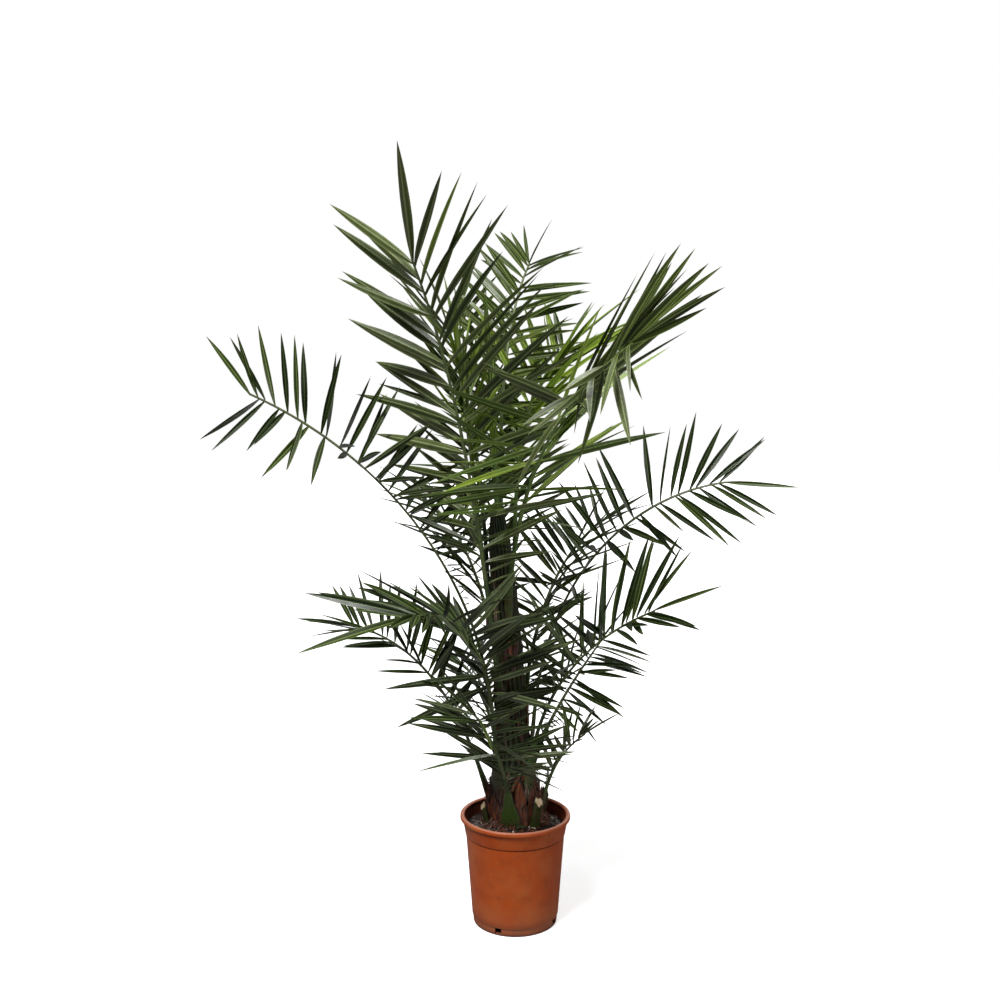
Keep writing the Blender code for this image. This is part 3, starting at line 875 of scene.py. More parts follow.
@dataclass(frozen=True)
class FrondPlan:
    """One frond: angles in degrees, lengths in metres, paired values from the blade's foot to its tip."""

    name: str
    height: float
    heading: float
    rise: float
    arch: float
    bend: float
    length: float
    leaflet: float
    pairs: int
    petiole: float = 0.35
    swing: float = 0.0
    foot: float | None = None
    foot_width: float = 0.030
    spread: Pair = (70.0, 45.0)
    lift: Pair = (30.0, 20.0)
    roll: float = 0.0
    roll_from: float = 0.35
    skew: float = 0.0
    tip_turn: float = 0.0
    sag: float = 0.0
    twist: float = 0.0
    spread_bend: float = 1.2  # above 1 the spread changes mostly towards the tip
    lift_bend: float = 1.0  # above 1 the lift changes mostly towards the tip
    pairing: float = 0.3  # how far neighbours draw together, in shares of their spacing
    wide: float = 1.0  # its leaflets' width against the usual one
    stray: float = 1.0  # how far its leaflets stand out of line, against the usual
    loose: float = 1.0  # how far its inner leaflets turn out of their rows
    boot: float = 1.0  # how far the base runs down the trunk, against the usual run
    green: Green = Green.DEEP
    tone: int = 1  # 0 dark, 1 middle, 2 light
    outer: Green | None = None  # the green of the blade's outer part, where it differs
    tips: tuple[float, ...] = (0.0,)  # how far each end leaflet is turned from the tip's turn


PLANS = (
    FrondPlan("front_low", 0.262, -100, 80, 51, 0.4, 0.35, 0.20, 21, petiole=0.42, swing=-36,
              foot_width=0.050, spread=(85, 64), lift=(20, 5), skew=4, sag=0.08, boot=0.36,
              stray=1.6, loose=0.2),
    FrondPlan("right_short", 0.290, -8, 80, 35, 1.2, 0.20, 0.12, 10, foot_width=0.034),
    FrondPlan("back_low_left", 0.300, 112, 68, 0, 1.2, 0.42, 0.16, 14, foot_width=0.038,
              sag=0.05),
    FrondPlan("left_low", 0.300, 163, 70, 5, 1.86, 0.55, 0.17, 20, foot_width=0.040,
              spread=(70, 50), lift=(55, 25), roll=-30, sag=0.10, tone=0),
    FrondPlan("left_forward", 0.350, -135, 87, -9, 2.5, 0.54, 0.30, 30, petiole=0.30,
              swing=-13, foot_width=0.036, stray=1.4, spread=(75, 66), lift=(20, 5), skew=6, sag=0.05,
              twist=-40, wide=1.15),
    FrondPlan("back_low", 0.360, 78, 70, 0, 1.2, 0.52, 0.18, 16, foot_width=0.036, sag=0.05),
    FrondPlan("right_middle", 0.365, -48, 89, 25, 0.72, 0.58, 0.20, 20, petiole=0.42,
              swing=10, foot_width=0.034, spread=(75, 36), lift=(50, 20), roll=50, skew=-4,
              sag=0.10, tone=0),
    FrondPlan("right_low", 0.375, 36, 61, 38, 0.9, 0.35, 0.16, 17, swing=6, foot_width=0.034,
              spread=(80, 50), lift=(10, 0), skew=8, sag=0.45, tone=0),
    FrondPlan("right_arching", 0.455, -9, 86, 9, 1.4, 0.80, 0.185, 20, petiole=0.42,
              swing=-2, foot_width=0.032, spread=(82, 34), lift=(50, 15), roll=65, skew=-2,
              tip_turn=-12, sag=0.25, spread_bend=2.0, tone=0),
    FrondPlan("back_right", 0.500, 50, 82, 15, 1.3, 0.56, 0.20, 17, sag=0.05),
    FrondPlan("left_arching", 0.510, -170, 85, 25, 0.93, 0.955, 0.195, 22, petiole=0.40,
              foot_width=0.032, spread=(88, 50), lift=(60, 10), roll=-65, roll_from=0.50,
              skew=-10, tip_turn=-34, sag=0.25, spread_bend=2.5, lift_bend=2.5, pairing=0.5, tone=0),
    FrondPlan("back_left", 0.520, 124, 82, 15, 1.3, 0.60, 0.20, 17, sag=0.05),
    FrondPlan("front_tall", 0.540, -120, 77, 54, 2.4, 1.04, 0.295, 23, petiole=0.32,
              spread=(75, 50), lift=(25, 20), skew=15, tip_turn=15, sag=0.02, pairing=0.25,
              twist=65, wide=1.3, green=Green.OLIVE, loose=0.5),
    FrondPlan("back_arching", 0.600, 95, 82, 5, 1.3, 0.80, 0.22, 20, foot_width=0.026,
              sag=0.05),
    FrondPlan("back_left_tall", 0.700, 122, 86, 55, 1.6, 0.76, 0.24, 18, foot=150,
              foot_width=0.022, green=Green.OLIVE, tone=0),
    FrondPlan("front_right", 0.775, -74, 80, 25, 0.70, 0.80, 0.28, 34, petiole=0.22,
              swing=20, foot_width=0.020, stray=1.8, spread=(88, 44), lift=(5, 10), roll=46,
              roll_from=0.25, skew=14, twist=55, tip_turn=-12, wide=0.95, tips=(10.0, -8.0),
              green=Green.FRESH, outer=Green.OLIVE, tone=0, loose=0.3),
    FrondPlan("young_left", 0.790, 175, 83, 82, 1.5, 0.56, 0.20, 20, petiole=0.40,
              foot_width=0.018, spread=(50, 30), lift=(20, 20), stray=1.6, green=Green.FRESH,
              tone=2),
    FrondPlan("back_tall", 0.875, 78, 90, 48, 1.8, 0.725, 0.19, 26, swing=-18, foot=95,
              foot_width=0.014, spread=(72, 62), lift=(20, 5), skew=22, tip_turn=20,
              green=Green.OLIVE, outer=Green.DEEP, pairing=0.1, tips=(20.0, 6.0, -20.0), loose=0.3),
    FrondPlan("young_right", 0.890, 49, 90, 36, 1.8, 0.51, 0.27, 22, swing=-13, foot=15,
              foot_width=0.014, spread=(60, 42), lift=(20, 10), tip_turn=25,
              green=Green.FRESH),
)


@dataclass(frozen=True)
class Column:
    """The trunk's own line and size, which all that grows on it reads."""

    foot: float = 0.2323
    top: float = 0.98
    lean: float = 0.043
    lean_bend: float = 1.5
    shares: tuple[float, ...] = (0.0, 0.02, 0.06, 0.13, 0.20, 0.30, 0.50, 0.70, 0.90, 1.0)
    radii: tuple[float, ...] = (0.066, 0.061, 0.062, 0.055, 0.047, 0.041, 0.037, 0.032, 0.026, 0.016)

    def centre(self, height: float) -> ndarray:
        """The middle of the trunk at a height."""
        share = max(0.0, (height - self.foot) / (self.top - self.foot))
        return np.array((-self.lean * share**self.lean_bend, 0.0, height))

    def radius(self, height: float) -> float:
        """The trunk's radius at a height."""
        share = (height - self.foot) / (self.top - self.foot)
        return float(np.interp(share, self.shares, self.radii))


class RibLine:
    """A frond's centre line, with the blade's axes and the rib's size at any share of its length."""

    STEPS = 80
    SECTIONS = 24  # of the bare rib
    SWING_BEND = 1.5
    ROLL_END = 0.97
    WIDTH = (0.0120, 0.0050)
    DEPTH = (0.0095, 0.0040)
    FOOT_DEPTH = 0.0120
    FOOT_RUN = 0.11
    FOOT_BEND = 1.5

    def __init__(self, plan: FrondPlan, column: Column) -> None:
        """Works out the line of a plan's frond on the trunk.

        Args:
            plan: The frond's plan.
            column: The trunk.
        """
        self.plan = plan
        shares = np.linspace(0, 1, self.STEPS + 1)
        slopes = np.radians(plan.rise + (plan.arch - plan.rise) * shares**plan.bend)
        headings = np.radians(plan.heading + plan.swing * shares**self.SWING_BEND)
        level = np.stack([np.cos(headings), np.sin(headings), np.zeros_like(headings)], 1)
        flat, steep = np.cos(slopes)[:, None], np.sin(slopes)[:, None]
        self.shares = shares
        self.tangents = level * flat + UPRIGHT * steep
        self.ups = UPRIGHT * flat - level * steep
        steps = (self.tangents[1:] + self.tangents[:-1]) / 2 * plan.length / self.STEPS
        self.outward = heading_vector(plan.heading if plan.foot is None else plan.foot)
        start = self.foot_point(column)
        self.points = np.vstack([start, start + np.cumsum(steps, 0)])

    def foot_point(self, column: Column) -> ndarray:
        """The rib's first point, with its section just clear of the trunk.

        Args:
            column: The trunk.

        Returns:
            The point.
        """
        side = np.cross(self.tangents[0], self.ups[0])
        wide = abs(float(side @ self.outward)) * self.width(0.0) / 2
        deep = abs(float(self.ups[0] @ self.outward)) * self.depth(0.0) / 2
        reach = column.radius(self.plan.height) + wide + deep
        return column.centre(self.plan.height) + self.outward * reach

    def foot_share(self, share: float) -> float:
        """How much of the foot's broadening is left at a share of the length."""
        return max(0.0, 1 - share * self.plan.length / self.FOOT_RUN)

    def width(self, share: float) -> float:
        """The rib's width at a share of its length."""
        slim = along(self.WIDTH, share)
        return slim + max(0.0, self.plan.foot_width - slim) * self.foot_share(share) ** self.FOOT_BEND

    def depth(self, share: float) -> float:
        """The rib's depth at a share of its length."""
        slim = along(self.DEPTH, share)
        return slim + (self.FOOT_DEPTH - slim) * self.foot_share(share)

    def read(self, rows: ndarray, share: float) -> ndarray:
        """Reads a row of values between the line's steps."""
        return np.array([np.interp(share, self.shares, rows[:, k]) for k in range(3)])

    def axes(self, share: float) -> tuple[ndarray, ndarray, ndarray, ndarray]:
        """The blade's axes at a place.

        Args:
            share: The place, in shares of the length.

        Returns:
            Point, tangent, right-hand side and upper side.
        """
        tangent = unit(self.read(self.tangents, share))
        up = unit(self.read(self.ups, share))
        side = np.cross(tangent, up)
        roll = math.radians(self.plan.roll) * smooth_step(share, self.plan.roll_from, self.ROLL_END)
        up = up * math.cos(roll) + side * math.sin(roll)
        return self.read(self.points, share), tangent, np.cross(tangent, up), up

    def tube(self) -> Solid:
        """The bare rib, for what must keep clear of it.

        Returns:
            Its points and faces.
        """
        points = []
        for share in np.linspace(0, 1, self.SECTIONS):
            point, _, side, up = self.axes(share)
            wide, deep = side * self.width(share) / 2, up * self.depth(share) / 2
            points += [point - wide + deep, point + wide + deep, point + wide - deep, point - wide - deep]
        return points, ring_faces(self.SECTIONS, 4)


@dataclass(frozen=True)
class Ray:
    """How a leaflet stands: where it points, its upper side and how long it is."""

    root: ndarray
    line: ndarray
    upper: ndarray
    length: float


# ---- fronds
@dataclass
class Fronds:
    """All fronds: ribs, leaflets, leaflet roots, short leaflets and spines low on the stalks."""

    column: Column
    box: tuple[Vector, Vector]  # the part's own box
    margin: float = 0.002
    seed: int = 11
    width: Pair = (0.0068, 0.040)  # of a leaflet: fixed part and part of its length
    widest: float = 0.0190
    length_spread: float = 0.05
    sweep_spread: float = 5.5
    lift_spread: float = 9.0
    turn_spread: float = 20.0
    skew_shares: Pair = (0.4, 1.0)
    end_length: float = 0.9
    profile: tuple[tuple[float, ...], tuple[float, ...]] = (
        (0.0, 0.12, 0.40, 0.75, 1.0), (0.45, 0.80, 1.0, 0.95, 0.80),
    )
    jitter: float = 0.16  # how far a leaflet stands off its place, in shares of the spacing
    missing: float = 0.05  # share of leaflets that are gone
    outer_from: float = 0.55  # share of the blade from which it has its outer green
    clear: float = 0.0015
    past_root: float = 0.04
    past_rib: float = 0.16
    looseness: Pair = (0.22, 0.42)  # tangents of how far inner leaflets turn along and off their row
    loose_seed: int = 29
    misses: tuple[Triple, ...] = (
        (0, 0, 1.0), (0, 9, 1.0), (0, -9, 1.0), (7, 0, 1.0), (-7, 0, 1.0), (5, 17, 1.0),
        (-5, -17, 1.0), (10, 9, 0.9), (-10, -9, 0.9), (0, 26, 0.9), (0, -26, 0.9),
        (0, 0, 0.7), (0, 12, 0.7), (0, -12, 0.7), (12, 20, 0.7), (-12, -20, 0.7), (0, 0, 0.5),
    )
    # drop, width and depth of a stalk's base down the trunk
    base_runs: tuple[Triple, ...] = (
        (0.060, 0.60, 0.35), (0.034, 0.92, 0.60), (0.014, 1.04, 0.85),
    )
    boot_runs: tuple[Triple, ...] = (
        (0.060, 0.12, 0.35), (0.055, 0.50, 0.60), (0.043, 0.80, 0.80), (0.022, 0.99, 0.95),
    )
    root_at: Pair = (0.42, 0.15)  # a leaflet's root on the rib, in shares of its width and depth
    strip: tuple[Pair, ...] = ((0.4, 1.0), (0.97, 0.15))  # where the tested strip ends, and how wide
    tones: tuple[int, ...] = (-1, 0, 0, 0, 1, 2)  # how far a leaflet's tone may be off its frond's
    droop: Pair = (0.025, 0.02)  # mean and spread of a tip's fall, in shares of the length
    curl: float = 0.018
    widths: Pair = (0.88, 1.06)
    short_lengths: tuple[float, ...] = (0.30, 0.22, 0.15, 0.11, 0.08)  # against the blade's leaflets
    lowest: float = 0.2335  # where the stalks' bases end
    leaf_rings: int = 12
    # a leaflet's width, the steepness of its fold and its thickness along its length
    leaf_width_along: tuple[tuple[float, ...], ...] = (
        (0.0, 0.03, 0.10, 0.22, 0.38, 0.55, 0.72, 0.85, 0.94, 1.0),
        (0.26, 0.32, 0.60, 0.86, 1.0, 0.95, 0.74, 0.48, 0.22, 0.015),
    )
    leaf_fold_along: tuple[Quad, Quad] = ((0.0, 0.15, 0.5, 1.0), (1.10, 0.75, 0.52, 0.40))
    leaf_depth_along: tuple[Quad, Quad] = ((0.0, 0.06, 0.5, 1.0), (4.5, 1.6, 1.0, 0.3))
    blade_thickness: float = 0.030  # against its width
    swollen: float = 0.028  # the share of a leaflet that is its swollen root
    sections: int = 60

    def __post_init__(self) -> None:
        """Lays out the ribs and the trees of what leaflets keep clear of."""
        self.random = np.random.default_rng(self.seed)
        self.loose_random = np.random.default_rng(self.loose_seed)
        self.ribs = [RibLine(plan, self.column) for plan in PLANS]
        self.own_trees = [self.tree_of([rib.tube()]) for rib in self.ribs]
        still = [self.trunk_tube(), self.pot_block()]
        self.other_trees = [
            self.tree_of(still + [other.tube() for other in self.ribs if other is not rib])
            for rib in self.ribs
        ]

    @staticmethod
    def tree_of(solids: Sequence[Solid]) -> BVHTree:
        """A search tree over several closed shapes."""
        points, faces = join_solids(solids)
        return BVHTree.FromPolygons([Vector(p) for p in points], faces)

    def trunk_tube(self) -> Solid:
        """The trunk's plain shape.

        Returns:
            Its points and faces.
        """
        column, points, sides = self.column, [], 15
        for share, radius in zip(column.shares, column.radii):
            centre = column.centre(column.foot + share * (column.top - column.foot))
            points += [centre + radius * heading_vector(a) for a in range(0, 360, 360 // sides)]
        return points, ring_faces(len(column.shares), sides)

    @staticmethod
    def pot_block() -> Solid:
        """A plain block that fills the pot.

        Returns:
            Its points and faces.
        """
        sides, height, radius = 24, 0.260, 0.130
        level = [radius * heading_vector(360 * k / sides) for k in range(sides)]
        return [np.array((0, 0, z)) + way for z in (0.0, height) for way in level], ring_faces(2, sides)

    def ray(
        self, rib: RibLine, share: float, sign: int, sweep: float, lift_more: float
    ) -> tuple[ndarray, ndarray]:
        """Where a leaflet points, by the solids' own rule.

        Args:
            rib: The rib that carries it.
            share: Its place along the rib.
            sign: 1 in the right-hand row, -1 in the left.
            sweep: Degrees that it leans further off the rib.
            lift_more: Degrees that it stands further up.

        Returns:
            Its line and its upper side.
        """
        plan = rib.plan
        _, tangent, side, up = rib.axes(share)
        blade = max(0.0, (share - plan.petiole) / (1 - plan.petiole))
        skew = sign * plan.skew * along(self.skew_shares, blade)
        angle = math.radians(along(plan.spread, blade**plan.spread_bend) + skew + sweep)
        lift = math.radians(along(plan.lift, blade**plan.lift_bend) + lift_more)
        line = math.cos(angle) * tangent
        line = line + math.sin(angle) * (sign * math.cos(lift) * side + math.sin(lift) * up)
        line = unit(line - UPRIGHT * plan.sag * math.hypot(line[0], line[1]))
        across = unit(tangent - line * float(tangent @ line))
        upper = np.cross(line, across)
        if upper @ up < 0:
            upper = -upper
        twist = math.radians(sign * plan.twist * blade)
        return line, upper * math.cos(twist) - across * math.sin(twist)

    def outline(self, ray: Ray, start: float) -> Solid:
        """A thin closed strip along a leaflet, for the clearance test.

        Args:
            ray: The leaflet.
            start: The share of its length where the strip begins.

        Returns:
            Its points and faces.
        """
        across = np.cross(ray.line, ray.upper)
        half = self.leaf_width(ray.length) * 0.35
        points = []
        for share, wide in ((start, 0.4), *self.strip):
            middle = ray.root + ray.line * ray.length * share
            for way in (-1, 1):
                for lift in (-1, 1):
                    flat = across * way * half * wide + ray.upper * way * lift * self.clear
                    points.append(Vector(middle + flat))
        return points, ring_faces(3, 4)

    def leaf_width(self, length: float) -> float:
        """A leaflet's width, from its length."""
        return min(self.widest, self.width[0] + self.width[1] * length)

    def place(self, index: int, share: float, sign: int, length: float) -> Ray | None:
        """Finds the first way past its neighbours for a leaflet.

        Args:
            index: The frond's number.
            share: The leaflet's place along the rib.
            sign: 1 in the right-hand row, -1 in the left.
            length: The leaflet's length.

        Returns:
            The leaflet, or None where every way is blocked.
        """
        rib = self.ribs[index]
        point, _, side, up = rib.axes(share)
        root = point + side * sign * rib.width(share) * self.root_at[0]
        root = root + up * rib.depth(share) * self.root_at[1]
        stray = PLANS[index].stray
        sweep = self.random.normal(0, self.sweep_spread * stray)
        lift = self.random.normal(0, self.lift_spread * stray)
        for sweep_more, lift_more, size in self.misses:
            line, upper = self.ray(rib, share, sign, sweep + sweep_more, lift + lift_more)
            ray = Ray(root, line, upper, length * size)
            if self.is_clear(index, ray):
                return ray
        return None

    def is_clear(self, index: int, ray: Ray) -> bool:
        """Whether a leaflet keeps clear of the ribs, the trunk and the pot.

        Args:
            index: The frond's number.
            ray: The leaflet.

        Returns:
            True where nothing is in its way.
        """
        pairs = ((self.other_trees[index], self.past_root), (self.own_trees[index], self.past_rib))
        return not any(
            tree.overlap(BVHTree.FromPolygons(*self.outline(ray, start))) for tree, start in pairs
        )

    def loosen(self, index: int, ray: Ray, blade: float) -> Ray:
        """Turns an inner leaflet further out of its row, where it stays clear.

        Args:
            index: The frond's number.
            ray: The leaflet in its row.
            blade: Its place along the blade.

        Returns:
            The leaflet, turned or as it was.
        """
        sweep, lift = self.loose_random.normal(0, 1, 2) * self.looseness * PLANS[index].loose * (1 - blade)
        across = np.cross(ray.line, ray.upper)
        line = unit(ray.line + across * sweep + ray.upper * lift)
        upper = unit(ray.upper - line * float(ray.upper @ line))
        turned = Ray(ray.root, line, upper, ray.length)
        return turned if self.is_clear(index, turned) else ray

    def leaf_shape(self, name: str) -> Object:
        """One leaflet of length and width 1: lance-shaped, folded to a V, closed and thin.

        Args:
            name: The object's name.

        Returns:
            The object, with its reach, leaf_place and tone stored. Tone 0 is the upper side.
        """
        shares = np.linspace(0, 1, self.leaf_rings + 1) ** 1.15
        wide = np.interp(shares, *self.leaf_width_along) / 2
        fold = np.interp(shares, *self.leaf_fold_along)
        thin = self.blade_thickness * np.interp(shares, *self.leaf_depth_along)
        points, places = [], []
        for share, half, rise, thick in zip(shares, wide, fold, thin):
            edge = half * rise
            points += [
                (-half, share, edge), (0.0, share, thick / 2), (half, share, edge),
                (0.0, share, -thick / 2),
            ]
            places += [(-1, share, 0), (0, share, 0), (1, share, 0), (0, share, 0)]
        item = mesh_object(name, points, ring_faces(len(shares), 4))
        face_outwards(item)
        shade_smooth(item, 30)
        set_values(item, "reach", np.repeat(shares, 4))
        set_values(item, "leaf_place", places)
        tones = [
            2.0 * LEAF_TONES if face.center.y < self.swollen else LEAF_TONES * float(face.normal.z < 0)
            for face in item.data.polygons
        ]
        set_values(item, "face_tone", tones, "FACE")
        return item

    def lay_frond(self, index: int, rows: dict[Green, Scatter]) -> int:
        """Lays out one frond's leaflets.

        Args:
            index: The frond's number.
            rows: Where they are gathered, by green.

        Returns:
            How many were skipped because every way was blocked.
        """
        rib, plan, skipped = self.ribs[index], PLANS[index], 0
        spacing = (1 - plan.petiole) / plan.pairs
        for k in range(plan.pairs):
            drawn = plan.pairing * (0.5 if k % 2 == 0 else -0.5)
            for sign in (-1, 1):
                if self.random.random() < self.missing:
                    continue
                share = plan.petiole + spacing * (k + 0.5 + drawn + sign * 0.12)
                share += spacing * self.random.normal(0, self.jitter)
                blade = min(1.0, max(0.0, (share - plan.petiole) / (1 - plan.petiole)))
                length = plan.leaflet * float(np.interp(blade, *self.profile))
                length *= 1 + self.random.normal(0, self.length_spread)
                ray = self.place(index, share, sign, length)
                if ray is None:
                    skipped += 1
                    continue
                ray = self.loosen(index, ray, blade)
                # outer leaflets are wider and one tone lighter; the lighter tone is a painted sheen
                if plan.outer and blade > self.outer_from:
                    self.add_leaflet(rows[plan.outer], ray, plan, 1.2, 1)
                else:
                    self.add_leaflet(rows[plan.green], ray, plan)
        self.add_end_leaflet(index, rows[plan.outer or plan.green])
        self.add_short_leaflets(index, rows[plan.green])
        return skipped

    def add_leaflet(
        self, rows: Scatter, ray: Ray, plan: FrondPlan, slim: float = 1.0, lighter: int = 0
    ) -> None:
        """Adds one leaflet with its own small bend, turn and tone.

        Args:
            rows: Where it is gathered.
            ray: How it stands.
            plan: Its frond's plan.
            slim: Its width against the usual one.
            lighter: How many tones lighter it is than its frond, which paints a sheen.
        """
        across = np.cross(ray.line, ray.upper)
        turn = math.radians(self.random.normal(0, self.turn_spread * plan.stray**2))
        upper = ray.upper * math.cos(turn) + across * math.sin(turn)
        droop = abs(self.random.normal(*self.droop)) * ray.length * math.hypot(*ray.line[:2])
        curl = self.random.normal(0, self.curl, 2) * ray.length
        bend = -UPRIGHT * droop + across * curl[0] + ray.upper * curl[1]
        width = self.leaf_width(ray.length) * plan.wide * slim * self.random.uniform(*self.widths)
        tone = plan.tone + lighter + self.random.choice(self.tones)
        tone = float(min(2, max(0, tone)))
        room = self.room(ray.root, ray.line * ray.length + bend)
        rows.add(ray.root, ray.line, upper, (width, ray.length * room, width), tone, bend * room)

    def room(self, root: ndarray, reach: ndarray) -> float:
        """Which share of a leaflet stays inside the part's box.

        Args:
            root: Where it starts.
            reach: The way from there to its tip.

        Returns:
            The share, at most 1.
        """
        low, high = (np.array(corner) for corner in self.box)
        limit = np.where(reach > 0, high - self.margin, low + self.margin)
        shares = (limit - root) / np.where(np.abs(reach) < 1e-6, 1e-6, reach)
        return float(min([1.0, *shares[np.abs(reach) > 1e-3]]))

    def add_end_leaflet(self, index: int, rows: Scatter) -> None:
        """Adds the leaflets that end a blade, turned a little out of the rib's line.

        Args:
            index: The frond's number.
            rows: Where they are gathered.
        """
        rib, plan = self.ribs[index], PLANS[index]
        point, tangent, side, up = rib.axes(1.0)
        for turned in plan.tips:
            turn = math.radians(plan.tip_turn + turned)
            line = math.cos(turn) * tangent - math.sin(turn) * side
            length = plan.leaflet * self.end_length
            ray = Ray(point - line * 0.004, line, up, length)
            self.add_leaflet(rows, ray, plan, 0.9)

    def add_short_leaflets(self, index: int, rows: Scatter) -> None:
        """Adds the short stiff leaflets that fade into spines low on a stalk.

        Args:
            index: The frond's number.
            rows: Where they are gathered.
        """
        rib, plan = self.ribs[index], PLANS[index]
        for k, size in enumerate(self.short_lengths):
            for sign in (-1, 1):
                share = plan.petiole * (0.97 - 0.075 * k + sign * 0.012)
                ray = self.place(index, share, sign, max(0.018, plan.leaflet * size))
                if ray is not None:
                    self.add_leaflet(rows, ray, plan, 0.5)

    def add_rib(self, index: int, tubes: Tubes) -> None:
        """Adds one rib, from its broad base on the trunk to its tip.

        Args:
            index: The frond's number.
            tubes: Where it is gathered.
        """
        rib, plan = self.ribs[index], PLANS[index]
        around = unit(np.cross(UPRIGHT, rib.outward))
        around = around * (1 if around @ rib.axes(0.0)[2] > 0 else -1)
        usual, rows = plan.boot == 1.0, []
        for drop, wide, deep in self.base_runs if usual else self.boot_runs:
            height = max(self.lowest, plan.height - drop * plan.boot)
            reach = self.column.radius(height) + rib.FOOT_DEPTH * (deep - 0.75)
            half = (plan.foot_width / 2 * wide, rib.FOOT_DEPTH / 2 * deep, 0.0)
            point = self.column.centre(height) + rib.outward * reach
            rows.append((point, around, -rib.outward, half, 0.0 if usual else 1.0))
        for share in np.linspace(0, 1, self.sections) ** 1.25:
            point, _, side, up = rib.axes(float(share))
            half = (rib.width(share) / 2, rib.depth(share) / 2, 0.0)
            rows.append((point, side, up, half, self.rib_tone(plan, share)))
        tubes.add_path(rows)

    @staticmethod
    def rib_tone(plan: FrondPlan, share: float) -> float:
        """Which of its four finishes a rib has: its base's, its foot's, its stalk's or its blade's.

        Args:
            plan: The frond's plan.
            share: The place, in shares of the length.

        Returns:
            The finish's number.
        """
        run = share * plan.length
        if run < 0.09:
            return 0.0 if run < 0.03 * plan.boot else 1.0
        return 2.0 if share < plan.petiole * 0.9 else 3.0

    @staticmethod
    def rib_section() -> list[Pair]:
        """A stalk's section: keeled below, with a shallow channel above.

        Returns:
            Places round it.
        """
        section = []
        for x, y in round_section(14):
            if y > 0:
                y = y * 0.75 - 0.30 * max(0.0, 1 - abs(x) / 0.6)
            section.append((x, y))
        return section

    def build(self) -> None:
        """Makes the leaflets and the ribs of each green and hands them over."""
        rows = {green: Scatter() for green in Green}
        skipped = sum(self.lay_frond(index, rows) for index in range(len(PLANS)))
        LOG.info("%d leaflets skipped", skipped)
        for green in Green:
            members = [k for k, plan in enumerate(PLANS) if plan.green is green]
            nodes = [f"frond_{PLANS[k].name}" for k in members]
            tubes = Tubes()
            for index in members:
                self.add_rib(index, tubes)
            LOG.info("%s: %d leaflets", green.value, len(rows[green].rows))
            shape = self.leaf_shape(f"leaflet_{green.value}")
            leaflets = rows[green].make(f"leaflets_{green.value}", shape, leaf_materials(green))
            hand_over(leaflets, nodes)
            ribs = tubes.make(f"ribs_{green.value}", self.rib_section(), stalk_materials(green))
            shade_smooth(ribs, 50)
            hand_over(ribs, nodes)


# ---- greens and browns
LEAF_TONES = 3
UNDERSIDE = (0.32, 0.5)  # roughness
# the colours of leaflets and of their midribs, which also pale the margins as a partly painted highlight:
# dark, middle and light, above and then below
LEAF_COLOURS: dict[Green, tuple[tuple[Colour, Colour], ...]] = {
    # the deep greens are darker than the leaves' own green, partly as painted shade for the low fronds deep
    # in the plant
    Green.DEEP: (
        ((0.0070, 0.0145, 0.0022), (0.08, 0.12, 0.03)),
        ((0.0115, 0.0230, 0.0030), (0.13, 0.18, 0.045)),
        ((0.0240, 0.0430, 0.0060), (0.20, 0.26, 0.07)),
        ((0.0100, 0.0180, 0.0040), (0.10, 0.13, 0.045)),
        ((0.0190, 0.0310, 0.0070), (0.15, 0.19, 0.07)),
        ((0.0520, 0.0700, 0.0270), (0.24, 0.28, 0.13)),
    ),
    Green.OLIVE: (
        ((0.020, 0.036, 0.005), (0.16, 0.20, 0.05)),
        ((0.034, 0.056, 0.008), (0.21, 0.25, 0.07)),
        ((0.062, 0.094, 0.013), (0.26, 0.31, 0.09)),
        ((0.026, 0.040, 0.008), (0.17, 0.21, 0.07)),
        ((0.044, 0.064, 0.014), (0.24, 0.28, 0.11)),
        ((0.078, 0.106, 0.026), (0.30, 0.34, 0.15)),
    ),
    Green.FRESH: (
        ((0.032, 0.062, 0.005), (0.17, 0.25, 0.04)),
        ((0.085, 0.145, 0.010), (0.26, 0.36, 0.06)),
        ((0.145, 0.225, 0.016), (0.38, 0.50, 0.10)),
        ((0.040, 0.070, 0.008), (0.18, 0.26, 0.06)),
        ((0.100, 0.162, 0.016), (0.27, 0.36, 0.08)),
        ((0.160, 0.240, 0.026), (0.36, 0.46, 0.12)),
    ),
}
ROOT_FINISH = LeafFinish("leaflet_root", (0.24, 0.26, 0.075), (0.30, 0.30, 0.10), (0.4, 0.55))
# the colours and the scurf of a rib's base, its foot, its stalk and its blade
STALK_LOOKS: dict[Green, tuple[tuple[Colour, float], ...]] = {
    Green.DEEP: (
        ((0.036, 0.062, 0.012), 0.6), ((0.036, 0.082, 0.010), 0.25),
        ((0.024, 0.046, 0.010), 0.15), ((0.080, 0.105, 0.032), 0.05),
    ),
    Green.OLIVE: (
        ((0.060, 0.065, 0.024), 0.75), ((0.060, 0.095, 0.030), 0.35),
        ((0.055, 0.095, 0.030), 0.12), ((0.120, 0.160, 0.055), 0.05),
    ),
    Green.FRESH: (
        ((0.080, 0.110, 0.030), 0.55), ((0.090, 0.150, 0.038), 0.2),
        ((0.100, 0.180, 0.042), 0.08), ((0.170, 0.250, 0.070), 0.0),
    ),
}


def leaf_materials(green: Green) -> list[Material]:
    """Makes the finishes of one green's leaflets, by tone.

    Args:
        green: Which green.

    Returns:
        Upper sides dark, middle and light, lower sides the same, then each tone's swollen root.
    """
    made = []
    for k, look in enumerate(LEAF_COLOURS[green]):
        below, tone = divmod(k, LEAF_TONES)
        name = f"leaf_{green.value}{('_dark', '', '_light')[tone]}" + "_under" * below
        made.append(LeafFinish(name, *look, UNDERSIDE if below else LeafFinish.roughness).build())
    return made + [ROOT_FINISH.build()] * LEAF_TONES


